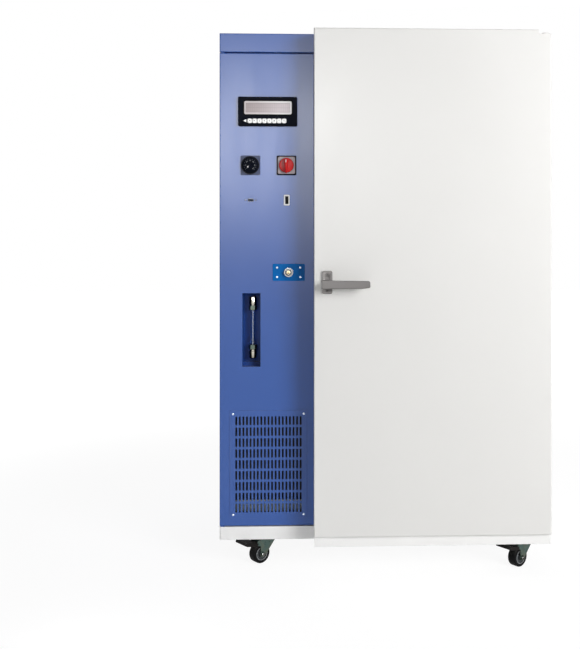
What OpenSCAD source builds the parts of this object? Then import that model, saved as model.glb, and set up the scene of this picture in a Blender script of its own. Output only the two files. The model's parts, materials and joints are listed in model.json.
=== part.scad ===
// Environmental test chamber: insulated cabinet with a large hinged door,
// a blue control and machine column at its left, on four swivel casters.
// +Z is up, the door faces -Y, and the origin is under the middle of the object's box, on the floor.

/* [Cabinet] */
// Width of the control column
col_w = 312; // [304:1:340]
// Width of the insulated chamber block
blk_w = 764; // [750:1:820]
// Height of the cabinet top above the floor
top_z = 1750; // [1740:1:1850]
// Depth from the door front to the rear panels
cab_depth = 850; // [840:1:920]
// Door front ahead of the column front
door_step = 95; // [90:1:100]
// Thickness of painted sheet steel
sheet_t = 1.5; // [1.2:0.1:1.8]
// Outside bend radius of painted sheet
bend_r = 3; // [2.5:0.5:5]
// Height of the strip above the service panel
fascia_h = 62; // [50:1:80]

/* [Base] */
// Height of the base's underside above the floor
base_z = 90; // [88:1:96]
// Height of the base under the column
col_base_h = 42; // [38:1:50]
// Height of the base under the chamber block
blk_base_h = 31; // [26:1:34]
// Base front under the door, ahead of the column front
base_step = 80; // [76:1:86]
// Thickness of the base sheet
base_t = 2.5; // [2:0.5:3]

/* [Chamber] */
// Inside width
cav_w = 600; // [560:1:610]
// Thickness of the roof over the chamber
roof_t = 110; // [100:1:150]
// Height of the inside floor above the room floor
cav_z = 190; // [180:1:200]
// Distance from the liner's back to the rear panels
back_t = 82; // [78:1:100]
// Thickness of the stainless liner
liner_t = 1.2; // [0.8:0.1:1.5]
// Corner radius of the liner
liner_r = 20; // [12:1:30]
// Depth of the air duct behind the perforated panel
duct_d = 115; // [110:1:125]

/* [Door] */
// Thickness of the door slab
door_t = 60; // [55:1:65]
// Gap under the door
door_gap = 3; // [3:0.5:5]
// Gap between door and cabinet, filled by the gasket
seal_gap = 12; // [11:0.5:14]
// Thickness of the door's sheet
door_sheet_t = 1.2; // [1:0.1:1.5]
// Outside bend radius of the door's edges
door_r = 4; // [3:0.5:6]
// How far the door's raised back enters the chamber
plug_d = 25; // [18:1:28]
// Gap round the raised back
plug_gap = 6; // [6:0.5:9]
// Width of the gasket
gasket_w = 18; // [14:1:20]
// Pivot's distance from the door's right edge
pivot_side = 14; // [13:0.5:16]
// Pivot's distance from the door's back
pivot_back = 30; // [28:1:32]
// Diameter of the hinge pins
hinge_pin_d = 10; // [8:0.5:12]

/* [Handle] */
// Spindle's distance from the door's left edge
handle_side = 43; // [40:1:46]
// Height of the spindle above the floor
handle_z = 933; // [880:1:980]
// Length of the lever beyond the spindle
lever_len = 136; // [120:1:150]
// Height of the lever at the spindle
lever_h = 27; // [24:1:30]
// Thickness of the lever
lever_t = 15; // [12:1:18]
// How far the lever stands out from the door
handle_out = 56; // [50:1:60]
// Size of the plate under the lever, across and up
handle_plate_size = [32, 73]; // [28:1:80]
// Diameter of the spindle
spindle_d = 10; // [8:0.5:11]

/* [Service panel] */
// Gap between the panel and the block at its right
panel_gap = 2; // [2:0.5:4]
// Gap above and below the panel
panel_seam = 3; // [2.5:0.5:5]
// Depth of the panel's folded edges
panel_fold = 20; // [18:1:22]
// Panel pivot's distance from the left edge
panel_pivot = 9; // [8.5:0.5:10]
// Diameter of the panel's pivot pins
panel_pin_d = 6; // [5:0.5:7]

/* [Controls] */
// Controller bezel, across and up
bezel = [192, 96]; // [90:1:200]
// Controller's centre, from the column's left edge and below the top
bezel_at = [157.5, 257]; // [150:0.5:265]
// How far the bezel stands out
bezel_out = 9; // [7:0.5:12]
// Width of the square plates of dial and switch
plate_w = 64; // [60:1:68]
// Dial's centre, from the column's left edge and below the top
dial_at = [101, 433]; // [95:1:440]
// Switch's centre, from the column's left edge and below the top
switch_at = [219, 433]; // [210:1:440]
// Diameter of the dial
dial_d = 54; // [48:1:58]
// Diameter of the switch knob
switch_d = 43; // [38:1:46]
// Data socket's centre, from the column's left edge and below the top
socket_at = [220, 547]; // [210:1:560]
// Card slot's centre, from the column's left edge and below the top
card_at = [102, 547]; // [90:1:560]
// Lock plate, across and up
lock_plate_size = [105, 56]; // [50:1:110]
// Lock plate's centre, from the column's left edge and above the floor
lock_at = [226, 966]; // [215:1:980]
// Diameter of the lock's barrel
lock_d = 24; // [20:1:26]

/* [Water gauge] */
// Window of the gauge, across and up
gauge_win = [59, 241]; // [54:1:245]
// Window's centre, from the column's left edge and above the floor
gauge_at = [104, 777]; // [98:1:790]
// Depth of the gauge's recess
gauge_d = 50; // [46:1:60]
// Diameter of the gauge glass
glass_d = 13; // [11:0.5:15]

/* [Grille] */
// Grille panel, across and up
grille_size = [252, 353]; // [248:1:358]
// Grille's centre, from the column's left edge and above the floor
grille_at = [160, 336.5]; // [156:0.5:345]
// Columns of slots
slot_cols = 19; // [10:1:19]
// Rows of slots
slot_rows = 9; // [5:1:9]
// Slot, across and up
slot_size = [6, 29]; // [5:0.5:30]
// Distance between slots, across and up
slot_pitch = [11.7, 35.7]; // [11:0.1:36]

/* [Casters] */
// Wheel diameter
wheel_d = 64; // [60:1:66]
// Wheel width
wheel_w = 31; // [28:1:32]
// Axle's distance behind the kingpin
trail = 21; // [18:1:22]
// Direction that the wheels trail in, about +Z from +X
caster_turn = 220; // [180:1:260]
// Kingpin's distance behind the base's front or ahead of its rear
king_in = 57; // [55:1:70]
// Front right kingpin's distance behind the base's front under the door
king_in_door = 72; // [55:1:85]
// Left kingpins' distance from the left side
king_left = 142; // [100:1:180]
// Right kingpins' distance from the right side
king_right = 82; // [70:1:150]
// Diameter of the wheel's axle
axle_d = 8; // [7:0.5:9]
// Side of the caster's top plate
caster_plate = 76; // [70:1:80]

/* [Rear fittings] */
// How far the drain spigot stands out
spigot_out = 24; // [20:1:40]
// Diameter of the drain spigot
spigot_d = 16; // [12:1:20]

/* [Hidden] */
$fn = 48;
eps = 0.5; // how far a cutting tool runs past the face that it cuts
seat = 0.3; // gap under a piece that only rests or hangs
run_gap = 0.05; // radial clearance of a shaft in its bore
fit_gap = 0.15; // radial clearance of a fixed pin or screw in its hole

// Colours
white_c = [0.93, 0.93, 0.91];
blue_c = [0.22, 0.33, 0.58];
steel_c = [0.75, 0.76, 0.77];
dark_c = [0.08, 0.08, 0.09];
satin_c = [0.6, 0.59, 0.57];
copper_c = [0.72, 0.42, 0.25];
zinc_c = [0.62, 0.65, 0.6];

// Main planes across the object
tot_w = col_w + blk_w;
x_left = -tot_w / 2;
x_blk = x_left + col_w;
x_right = tot_w / 2;
x_mid = (x_blk + x_right) / 2;
cav_x0 = x_mid - cav_w / 2;
cav_x1 = x_mid + cav_w / 2;

// Main planes front to back
y_tip = -(handle_out + cab_depth + spigot_out) / 2;
y_door = y_tip + handle_out;
y_col = y_door + door_step;
y_base = y_col - base_step;
y_slab = y_door + door_t;
y_frame = y_slab + seal_gap;
y_liner = y_frame + sheet_t;
y_rear = y_door + cab_depth;
y_back = y_rear - back_t;
y_duct = y_back - duct_d;
y_fold = y_col + panel_fold;
y_shell = y_fold + 5;

// Main heights
z_deck = base_z + base_t;
z_col = base_z + col_base_h;
z_blk = base_z + blk_base_h;
z_door = z_blk + door_gap;
z_seam = top_z - fascia_h;
z_pan0 = z_col + panel_seam;
z_pan1 = z_seam - panel_seam;
cav_top = top_z - roof_t;
cav_h = cav_top - cav_z;

// Door pivot, notch and hinge arm
piv_x = x_right - pivot_side;
piv_y = y_slab - pivot_back;
notch_w = 42;
notch_h = 14;
arm_w = 24;
arm_t = 5;
arm_z = top_z - notch_h + door_gap;
bush_d = hinge_pin_d + 10;
bush_l = 30;

// Service panel pivot
pp_x = x_left + panel_pivot;
pp_y = y_col + panel_fold / 2;

// Points on the column's front, from its left edge and the top or the floor
function from_top(p) = [x_left + p[0], top_z - p[1]];
function on_col(p) = [x_left + p[0], p[1]];
bezel_c = from_top(bezel_at);
dial_c = from_top(dial_at);
switch_c = from_top(switch_at);
socket_c = from_top(socket_at);
card_c = from_top(card_at);
lock_c = on_col(lock_at);
gauge_c = on_col(gauge_at);
grille_c = on_col(grille_at);

// Screws of the grille and the lock plate
screw_d = 4;
screw_head_d = 8;
grille_screws = [for (i = [-1, 1], j = [-1, 1]) grille_c + [i * 115.5, j * 165]];
lock_screws = [for (i = [-1, 1], j = [-1, 1]) lock_c + [i * 38, j * 15.5]];

// Handle spindle and latch
hx = x_blk + handle_side;
tongue_t = 4;
tongue_len = 34;
tongue_w = 16;
tongue_y = y_frame - 7.7;
lip_t = 2.5;
lip_y = tongue_y - 0.8 - lip_t;

// Finned coil behind the duct panel
coil_w = 440;
coil_h = 220;
coil_z = cav_top - 590;

// Refrigerant and steam lines through the block's left wall: depth, height, radius
line_r = 5;
steam_r = 8;
line_z = coil_z + coil_h - 6;
wall_lines = [[y_back - 53, line_z, line_r], [y_back - 18, line_z, line_r], [y_back - 73, cav_top - 680, steam_r]];
line_gap = 1;

// Chamber fittings
shelf_zs = [for (i = [1:4]) cav_z + i * cav_h / 5 - 60];
rod_r = 3;
wire_r = 1.6;
strip_d = 8;
strip_w = 20;
strip_ys = [y_frame + 110, y_duct - 70];
shelf_x0 = cav_x0 + strip_d + 4;
shelf_x1 = cav_x1 - strip_d - 4;
shelf_y0 = y_frame + plug_d + 30;
shelf_y1 = y_duct - 18;
fan_c = [x_mid, cav_top - 190];
fan_r = 110;

// Caster kingpins
king_x = [x_left + king_left, x_right - king_right];
kings = [
    [king_x[0], y_col + king_in], [king_x[1], y_base + king_in_door],
    [king_x[0], y_rear - king_in], [king_x[1], y_rear - king_in]
];
plate_t = 4;
plate_z = base_z - plate_t;
race_h = 6;
fork_top = plate_z - race_h - seat;
disc_h = 7.7;
disc_r = 26;
leg_t = 3;
leg_in = wheel_w / 2 + 2.5;
king_r = 8;
pedal_at = [36, 68];
pedal_pin_r = 2.5;
wheel_r = wheel_d / 2;

// Box between two corners
module slab(x0, x1, y0, y1, z0, z1) translate([x0, y0, z0]) cube([x1 - x0, y1 - y0, z1 - z0]);
// Outline in X and Z drawn through Y
module through_y(y0, y1) translate([0, y1, 0]) rotate([90, 0, 0]) linear_extrude(y1 - y0) children();
// Round bar along Y at an X and Z place
module bar_y(p, r, y0, y1) translate([p[0], y0, p[1]]) rotate([-90, 0, 0]) cylinder(r = r, h = y1 - y0);
// Round bar along X at a Y and Z place
module bar_x(p, r, x0, x1) translate([x0, p[0], p[1]]) rotate([0, 90, 0]) cylinder(r = r, h = x1 - x0);
// Round bar along Z at an X and Y place
module bar_z(p, r, z0, z1) translate([p[0], p[1], z0]) cylinder(r = r, h = z1 - z0);

// Centred rectangle with round corners
module rounded(size, r) {
    square([size[0] - 2 * r, size[1]], center = true);
    square([size[0], size[1] - 2 * r], center = true);
    for (i = [-1, 1], j = [-1, 1]) translate([i * (size[0] / 2 - r), j * (size[1] / 2 - r)]) circle(r);
}

// Upright slot with round ends
module slot2d(size) {
    square([size[0], size[1] - size[0]], center = true);
    for (j = [-1, 1]) translate([0, j * (size[1] - size[0]) / 2]) circle(size[0] / 2);
}

// Block whose front edges are bent to a radius, open to the back
module bent_front(x0, x1, y0, y1, z0, z1, r) {
    w = x1 - x0;
    h = z1 - z0;
    d = y1 - y0;
    intersection() {
        translate([x0, y0, z0]) linear_extrude(h) {
            translate([0, r]) square([w, d - r]);
            translate([r, 0]) square([w - 2 * r, d]);
            for (x = [r, w - r]) translate([x, r]) circle(r);
        }
        translate([x0, y0, z0]) rotate([90, 0, 90]) linear_extrude(w) {
            translate([r, 0]) square([d - r, h]);
            translate([0, r]) square([d, h - 2 * r]);
            for (z = [r, h - r]) translate([r, z]) circle(r);
        }
    }
}

// Folded sheet pan, open to the back
module pan(x0, x1, y0, y1, z0, z1, r, t) {
    difference() {
        bent_front(x0, x1, y0, y1, z0, z1, r);
        bent_front(x0 + t, x1 - t, y0 + t, y1 + eps, z0 + t, z1 - t, r - t);
    }
}

// Tube along a list of points, with ball corners
module pipe(points, r) {
    for (i = [0:len(points) - 2]) {
        v = points[i + 1] - points[i];
        translate(points[i]) rotate([0, acos(v[2] / norm(v)), atan2(v[1], v[0])]) cylinder(r = r, h = norm(v));
    }
    for (i = [1:1:len(points) - 2]) translate(points[i]) sphere(r);
}

// Holes for the lines through the block's left wall
module line_bores() {
    for (l = wall_lines) bar_x([l[0], l[1]], l[2] + line_gap, x_blk - eps, cav_x0 + eps);
}

// Welded base: one folded tray, higher under the column, with a ledge under the door
module base_tray() color(white_c) {
    r = 5;
    t = base_t;
    difference() {
        union() {
            translate([x_left, y_col, base_z]) linear_extrude(col_base_h) {
                translate([r, 0]) square([col_w - r, y_rear - y_col]);
                translate([0, r]) square([col_w, y_rear - y_col - r]);
                translate([r, r]) circle(r);
            }
            slab(x_blk, x_right, y_base, y_rear, base_z, z_blk);
        }
        slab(x_left + t, x_blk, y_col + t, y_rear - t, z_deck, z_col + 1);
        slab(x_blk - eps, x_right - t, y_frame, y_rear - t, z_deck, z_col + 1);
        slab(x_blk + t, x_right - t, y_base + t, y_frame + eps, z_deck, z_blk - t);
        for (i = [0:8]) slab(x_left + 70 + i * 22, x_left + 78 + i * 22, y_rear - 420, y_rear - 340,
            base_z - 1, z_deck + 1);
        for (k = kings, i = [-1, 1], j = [-1, 1])
            bar_z(k + [i, j] * caster_plate * 0.36, 4 + fit_gap, base_z - 1, z_deck + 1);
    }
    slab(x_left + t, x_blk, y_col + t, y_col + 24, z_col - t, z_col);
}

// Column carcass: left side, top, inner front flanges and the lock's keeper
module column_shell() color(blue_c) {
    t = sheet_t;
    y1 = y_rear - t;
    slab(x_left, x_left + t, y_shell, y1, z_col, top_z);
    slab(x_left, x_blk, y_shell, y1, top_z - t, top_z);
    difference() {
        slab(x_left, x_blk, y_shell, y_shell + t, z_col, top_z);
        slab(x_left + 22, x_blk - 22, y_shell - 1, y_shell + t + 1, z_col + 24, z_seam - 12);
    }
    slab(x_blk - 57, x_blk - 20, y_shell, y_shell + t, lock_c[1] - 22, lock_c[1] + 22);
    slab(x_left, x_left + 22, y1 - t, y1, z_col, top_z);
}

// Painted wrap of the chamber block
module block_shell() color(white_c) {
    t = sheet_t;
    difference() {
        union() {
            slab(x_blk, x_blk + t, y_frame, y_rear - t, z_deck, top_z);
            slab(x_right - t, x_right, y_frame, y_rear - t, z_blk, top_z);
            slab(x_blk, x_right, y_frame, y_rear - t, top_z - t, top_z);
        }
        slab(x_blk - eps, x_blk + t + eps, y_rear - base_t, y_rear, z_deck - eps, z_blk);
        line_bores();
    }
}

// Rear sheets: plain behind the chamber, louvred and removable behind the column
module rear_panels() color(white_c) {
    t = sheet_t;
    y0 = y_rear - t;
    difference() {
        slab(x_left, x_blk - 0.5, y0, y_rear, z_col, top_z);
        for (i = [0:17], j = [0:1]) slab(x_left + 40 + j * 125, x_left + 147 + j * 125, y0 - 1, y_rear + 1,
            z_col + 60 + i * 24, z_col + 68 + i * 24);
    }
    difference() {
        slab(x_blk + 0.5, x_right, y0, y_rear, z_blk, top_z);
        bar_y([x_mid, z_blk + 45], spigot_d / 2 + fit_gap, y0 - 1, y_rear + 1);
    }
    for (i = [0:17], j = [0:1]) translate([x_left + 40 + j * 125, y_rear, z_col + 67 + i * 24])
        rotate([90, 0, 90]) linear_extrude(107) polygon([[0, 1], [0, 3], [6, -7], [5, -8]]);
    for (x = [x_left + 12, x_blk - 14], z = [z_col + 20, z_col + 600, z_col + 1200, top_z - 20])
        bar_y([x, z], 5, y_rear, y_rear + 2);
}

// Fixed strip above the service panel
module fascia() color(blue_c) {
    pan(x_left, x_blk, y_col, y_shell, z_seam, top_z, bend_r, sheet_t);
}

// Facing round the chamber's mouth, with the keeper that the latch tongue turns behind
module front_frame() color(white_c) {
    t = sheet_t;
    difference() {
        slab(x_blk + t, x_right - t, y_frame, y_liner, z_blk, top_z - t);
        slab(cav_x0, cav_x1, y_frame - 1, y_liner + 1, cav_z, cav_top);
    }
    j = 0.1;
    x0 = x_blk + 3;
    z0 = handle_z - 22;
    z1 = handle_z + 22;
    slab(x0, x0 + lip_t, lip_y + lip_t + j, y_frame - j, z0, z1);
    slab(x0, x0 + 18, lip_y, lip_y + lip_t, z0, z1);
}

// Stainless inner box, open at the front
module inner_liner() color(steel_c) {
    zc = cav_z + cav_h / 2;
    difference() {
        through_y(y_liner, y_back + liner_t) translate([x_mid, zc])
            rounded([cav_w + 2 * liner_t, cav_h + 2 * liner_t], liner_r + liner_t);
        through_y(y_liner - 1, y_back) translate([x_mid, zc]) rounded([cav_w, cav_h], liner_r);
        line_bores();
    }
}

// Foam between liner and shell, in five slabs
module insulation() color([0.9, 0.85, 0.6]) {
    t = sheet_t;
    j = 0.1;
    x0 = x_blk + t;
    x1 = x_right - t;
    y1 = y_rear - t;
    z0 = cav_z - liner_t;
    z1 = cav_top + liner_t;
    inner0 = cav_x0 - liner_t;
    inner1 = cav_x1 + liner_t;
    difference() {
        slab(x0, x1 - base_t, y_liner, y1 - base_t, z_deck, z0 - j);
        bar_y([x_mid, z_blk + 45], spigot_d / 2 + fit_gap, y_rear - 60, y_rear);
    }
    difference() {
        slab(x0, inner0, y_liner, y1, z0, top_z - t);
        line_bores();
    }
    slab(inner1, x1, y_liner, y1, z0, top_z - t);
    slab(inner0 + j, inner1 - j, y_liner, y1, z1, top_z - t);
    slab(inner0 + j, inner1 - j, y_back + liner_t, y1, z0, z1 - j);
}

// Fixed hinge parts of the door: arm with pin above, pin with washer below
module door_hinges() color(steel_c) {
    p = [piv_x, piv_y];
    slab(piv_x - arm_w / 2, piv_x + arm_w / 2, piv_y, y_frame, arm_z, arm_z + arm_t);
    bar_z(p, arm_w / 2, arm_z, arm_z + arm_t);
    slab(piv_x - arm_w / 2, piv_x + arm_w / 2, y_frame - 3, y_frame, arm_z - 40, arm_z + arm_t);
    bar_z(p, hinge_pin_d / 2, arm_z - door_gap - bush_l + 4, arm_z + arm_t);
    bar_z(p, hinge_pin_d / 2, z_blk, z_door + bush_l - 4);
    bar_z(p, bush_d / 2 - 1, z_blk, z_door - seat);
}

// Slotted strips on the chamber's side walls, with hooks that carry the shelves
module shelf_supports() color(steel_c) {
    for (y = strip_ys, side = [0, 1]) {
        xw = side == 0 ? cav_x0 : cav_x1 - strip_d;
        difference() {
            slab(xw, xw + strip_d, y - strip_w / 2, y + strip_w / 2, cav_z + 40, cav_top - 60);
            slab(side == 0 ? xw - 1 : xw + 1.5, side == 0 ? xw + strip_d - 1.5 : xw + strip_d + 1,
                y - strip_w / 2 + 1.5, y + strip_w / 2 - 1.5, cav_z + 39, cav_top - 59);
            for (z = [cav_z + 60:50:cav_top - 90])
                slab(xw - 1, xw + strip_d + 1, y - 3, y + 3, z, z + 12);
        }
        for (z = shelf_zs) {
            xh = side == 0 ? cav_x0 + strip_d : cav_x1 - strip_d - 13;
            slab(xh, xh + 13, y - 7, y + 7, z - rod_r - seat - 7, z - rod_r - seat);
        }
    }
}

// Wire shelves: a round rod frame with two stretchers under cross wires
module wire_shelves() color(steel_c) {
    yc = (shelf_y0 + shelf_y1) / 2;
    for (z = shelf_zs) {
        for (x = [shelf_x0 + rod_r, shelf_x1 - rod_r])
            translate([x, shelf_y0 + rod_r, z]) rotate([-90, 0, 0])
                cylinder(r = rod_r, h = shelf_y1 - shelf_y0 - 2 * rod_r);
        for (y = [shelf_y0 + rod_r, yc, shelf_y1 - rod_r])
            bar_x([y, z], rod_r, shelf_x0 + rod_r, shelf_x1 - rod_r);
        for (x = [shelf_x0 + rod_r, shelf_x1 - rod_r], y = [shelf_y0 + rod_r, shelf_y1 - rod_r])
            translate([x, y, z]) sphere(rod_r);
        for (x = [shelf_x0 + 30:26:shelf_x1 - 20])
            bar_y([x, z + rod_r + wire_r - 0.8], wire_r, shelf_y0, shelf_y1);
    }
}

// Perforated panel in front of the coil, folded back to the liner
module duct_panel() color(steel_c) {
    t = liner_t;
    x0 = cav_x0 + 2;
    x1 = cav_x1 - 2;
    z0 = cav_z + 22;
    z1 = cav_top - 22;
    difference() {
        slab(x0, x1, y_duct, y_back - seat, z0, z1);
        slab(x0 + t, x1 - t, y_duct + t, y_back, z0 - 1, z1 + 1);
        for (a = [0:30:330], r = [28, 52, 76])
            bar_y([fan_c[0] + r * cos(a + r), fan_c[1] + r * sin(a + r)], 6, y_duct - 1, y_duct + t + 1);
        bar_y(fan_c, 10, y_duct - 1, y_duct + t + 1);
        for (i = [-6:6], j = [0:3]) slab(x_mid + i * 42 - 15, x_mid + i * 42 + 15, y_duct - 1, y_duct + t + 1,
            cav_z + 60 + j * 22, cav_z + 66 + j * 22);
        slab(x0 - 1, x0 + t + 1, wall_lines[2][0] - 20, y_back, wall_lines[2][1] - 40, line_z + 40);
    }
}

// Circulation motor on the liner's back, with its shaft
module circulation_motor() color(dark_c) {
    bar_y(fan_c, 46, y_back - 40, y_back);
    bar_y(fan_c, 16, y_back - 48, y_back - 39);
    bar_y(fan_c, 5, y_back - 92, y_back - 40);
}

// Centrifugal wheel on the motor's shaft, with curved blades between a disc and a ring
module circulation_impeller() color(steel_c) {
    y0 = y_back - 96;
    y1 = y_back - 54;
    blades = 16;
    difference() {
        union() {
            bar_y(fan_c, fan_r, y1, y1 + 2);
            bar_y(fan_c, 14, y0 + 6, y1 + 2);
            for (i = [0:blades - 1]) translate([fan_c[0], 0, fan_c[1]]) rotate([0, i * 360 / blades, 0])
                through_y(y0 + 1, y1 + 0.5) translate([fan_r - 22, 0]) rotate(-35) square([26, 1.6]);
            difference() {
                bar_y(fan_c, fan_r, y0, y0 + 2);
                bar_y(fan_c, fan_r - 22, y0 - 1, y0 + 3);
            }
        }
        bar_y(fan_c, 5 + run_gap, y0 - 1, y1 + 4);
    }
}

// Finned coil with end plates and return bends, and the heater rods under it
module evaporator() color([0.8, 0.82, 0.84]) {
    w = coil_w;
    h = coil_h;
    x0 = x_mid - w / 2;
    z0 = coil_z;
    y0 = y_back - 70;
    y1 = y_back - 6;
    fins = 54;
    difference() {
        slab(x0, x0 + w, y0, y1, z0, z0 + h);
        for (i = [0:fins - 1])
            slab(x0 + 6 + i * 8, x0 + 10 + i * 8, y0 - 1, y0 + 9, z0 - 1, z0 + h + 1);
    }
    for (x = [x0 - 2, x0 + w]) slab(x, x + 2, y0 - 4, y_back, z0 - 90, z0 + h + 6);
    for (side = [-1, 1], k = [0:3]) translate([side < 0 ? x0 - 2 : x0 + w + 2, (y0 + y1) / 2, z0 + 34 + k * 50])
        rotate([0, side * 90, 0]) rotate([0, 0, 90]) return_bend();
    for (z = [z0 - 25, z0 - 60]) bar_x([(y0 + y1) / 2, z], 5, x0 - 1, x0 + w + 1);
}

// Half ring of tube that joins two rows of a coil
module return_bend() {
    rotate([90, 0, 0]) rotate_extrude(angle = 180) translate([12, 0]) circle(4);
}

// Air temperature and humidity probe on the duct panel
module sensor_probe() color(steel_c) {
    p = [x_mid + 170, cav_top - 430];
    slab(p[0] - 12, p[0] + 12, y_duct - 3, y_duct, p[1] - 22, p[1] + 22);
    bar_y(p, 7, y_duct - 14, y_duct - 2);
    bar_z([p[0], y_duct - 14], 7, p[1] - 50, p[1] + 10);
    bar_z([p[0], y_duct - 14], 8.5, p[1] - 78, p[1] - 45);
}

// Pivot pins of the service panel, on the base and under the fascia
module panel_hinges() color(steel_c) {
    p = [pp_x, pp_y];
    r = panel_pin_d / 2;
    bar_z(p, r, z_col, z_pan0 + 12);
    bar_z(p, r + 4, z_col, z_pan0 - seat);
    bar_z(p, r, z_pan1 - 12, z_seam);
    bar_z(p, r + 4, z_pan1 + seat, z_seam);
}

// Recess behind the gauge window, strapped to the column's left side
module gauge_recess() color(blue_c * 0.7) {
    t = 1.2;
    w = gauge_win[0] + 6;
    h = gauge_win[1] + 6;
    y0 = y_col + sheet_t + 2;
    y1 = y0 + gauge_d;
    x0 = gauge_c[0] - w / 2;
    z0 = gauge_c[1] - h / 2;
    difference() {
        union() {
            difference() {
                slab(x0, x0 + w, y0, y1, z0, z0 + h);
                slab(x0 + t, x0 + w - t, y0 - 1, y1 - t, z0 + t, z0 + h - t);
            }
            slab(x_left + sheet_t, x0 + 1, y1 - t, y1, gauge_c[1] - 40, gauge_c[1] + 40);
            slab(x_left + sheet_t, x_left + sheet_t + t, y1 - t, y1 + 18, gauge_c[1] - 40, gauge_c[1] + 40);
            slab(x0 + t / 2, x0 + w - t, y1 - 14, y1 - 1, z0 + t / 2, z0 + 14);
        }
        for (z = gauge_ports) bar_y([gauge_axis[0], z], 6 + fit_gap, y1 - 20, y1 + 1);
    }
}

// Gauge centre line, and the heights of its two ports
gauge_axis = [gauge_c[0] + 2, y_col + 30];
gauge_ports = [gauge_c[1] + 96, gauge_c[1] - 84];

// Glass of the gauge
module gauge_tube() color([0.8, 0.9, 0.95, 0.5]) {
    difference() {
        bar_z(gauge_axis, glass_d / 2, gauge_ports[1] + 18, gauge_ports[0] - 18);
        bar_z(gauge_axis, glass_d / 2 - 1.4, gauge_ports[1] + 17, gauge_ports[0] - 17);
    }
}

// End fittings of the gauge: elbow body, gland nut and tail through the recess
module gauge_fittings() color(steel_c) {
    y1 = y_col + sheet_t + 2 + gauge_d;
    r = glass_d / 2 + fit_gap;
    for (i = [0, 1]) {
        z = gauge_ports[i];
        s = i == 0 ? -1 : 1;
        difference() {
            union() {
                bar_z(gauge_axis, 10, z - 14, z + 14);
                translate([gauge_axis[0], gauge_axis[1], z + s * 25]) cylinder(r = 13.5, h = 16, center = true, $fn = 6);
                bar_z(gauge_axis, 9, z - (s < 0 ? 20 : 8), z + (s < 0 ? 8 : 20));
            }
            bar_z(gauge_axis, r, s < 0 ? z - 40 : z + 17, s < 0 ? z - 17 : z + 40);
        }
        bar_y([gauge_axis[0], z], 6, gauge_axis[1], y1 + 16);
        translate([gauge_axis[0], y1 + 4, z]) rotate([90, 0, 0]) cylinder(r = 11, h = 8, center = true, $fn = 6);
    }
}

// Hermetic compressor on four rubber feet
comp_c = [x_left + col_w / 2 - 4, y_col + 330];
comp_z = [z_deck + 120, z_deck + 150];
module compressor() color(dark_c) {
    z0 = z_deck + 14;
    difference() {
        slab(comp_c[0] - 85, comp_c[0] + 85, comp_c[1] - 85, comp_c[1] + 85, z0, z0 + 3);
        for (i = [-1, 1], j = [-1, 1]) bar_z(comp_c + [i, j] * 70, 7, z0 - 1, z0 + 4);
    }
    for (i = [-1, 1], j = [-1, 1]) {
        bar_z(comp_c + [i, j] * 70, 12, z_deck, z0);
        bar_z(comp_c + [i, j] * 70, 6.5, z0 - 1, z0 + 8);
        bar_z(comp_c + [i, j] * 70, 9, z0 + 3, z0 + 6);
    }
    translate([comp_c[0], comp_c[1], z0 + 2]) rotate_extrude() {
        square([62, 12]);
        translate([0, 10]) square([72, 112]);
        translate([0, 122]) intersection() {
            scale([72, 60]) circle(1);
            square([80, 80]);
        }
    }
    bar_z(comp_c, 75, z0 + 66, z0 + 72);
    slab(comp_c[0] - 24, comp_c[0] + 24, comp_c[1] - 98, comp_c[1] - 60, z0 + 74, z0 + 124);
    bar_x([comp_c[1], comp_z[0]], 6, comp_c[0] + 60, comp_c[0] + 80);
    bar_y([comp_c[0], comp_z[1]], 8, comp_c[1] + 60, comp_c[1] + 80);
}

// Condenser coil behind the grille, in a light frame that stands on the tray
cond_y = y_shell + 22;
cond_d = 44;
cond_w = 236;
cond_x = grille_c[0] - cond_w / 2;
cond_z = 210;
cond_h = 300;
module condenser() color([0.8, 0.82, 0.84]) {
    difference() {
        slab(cond_x + 3, cond_x + cond_w - 3, cond_y, cond_y + cond_d, cond_z + 2, cond_z + cond_h);
        for (i = [0:36]) slab(cond_x + 8 + i * 6, cond_x + 11 + i * 6, cond_y - 1, cond_y + 6, cond_z, cond_z + cond_h + 1);
    }
    for (x = [cond_x, cond_x + cond_w - 3]) slab(x, x + 3, cond_y - 6, cond_y + cond_d + 6, z_deck, cond_z + cond_h + 4);
    slab(cond_x, cond_x + cond_w, cond_y - 12, cond_y + cond_d + 6, cond_z - 1, cond_z + 2);
    slab(cond_x, cond_x + cond_w, cond_y - 12, cond_y - 10, cond_z - 38, cond_z + 1);
    for (side = [-1, 1], k = [0:5]) translate([side < 0 ? cond_x : cond_x + cond_w, cond_y + cond_d / 2, cond_z + 28 + k * 48])
        rotate([0, side * 90, 0]) rotate([0, 0, 90]) return_bend();
}

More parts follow.
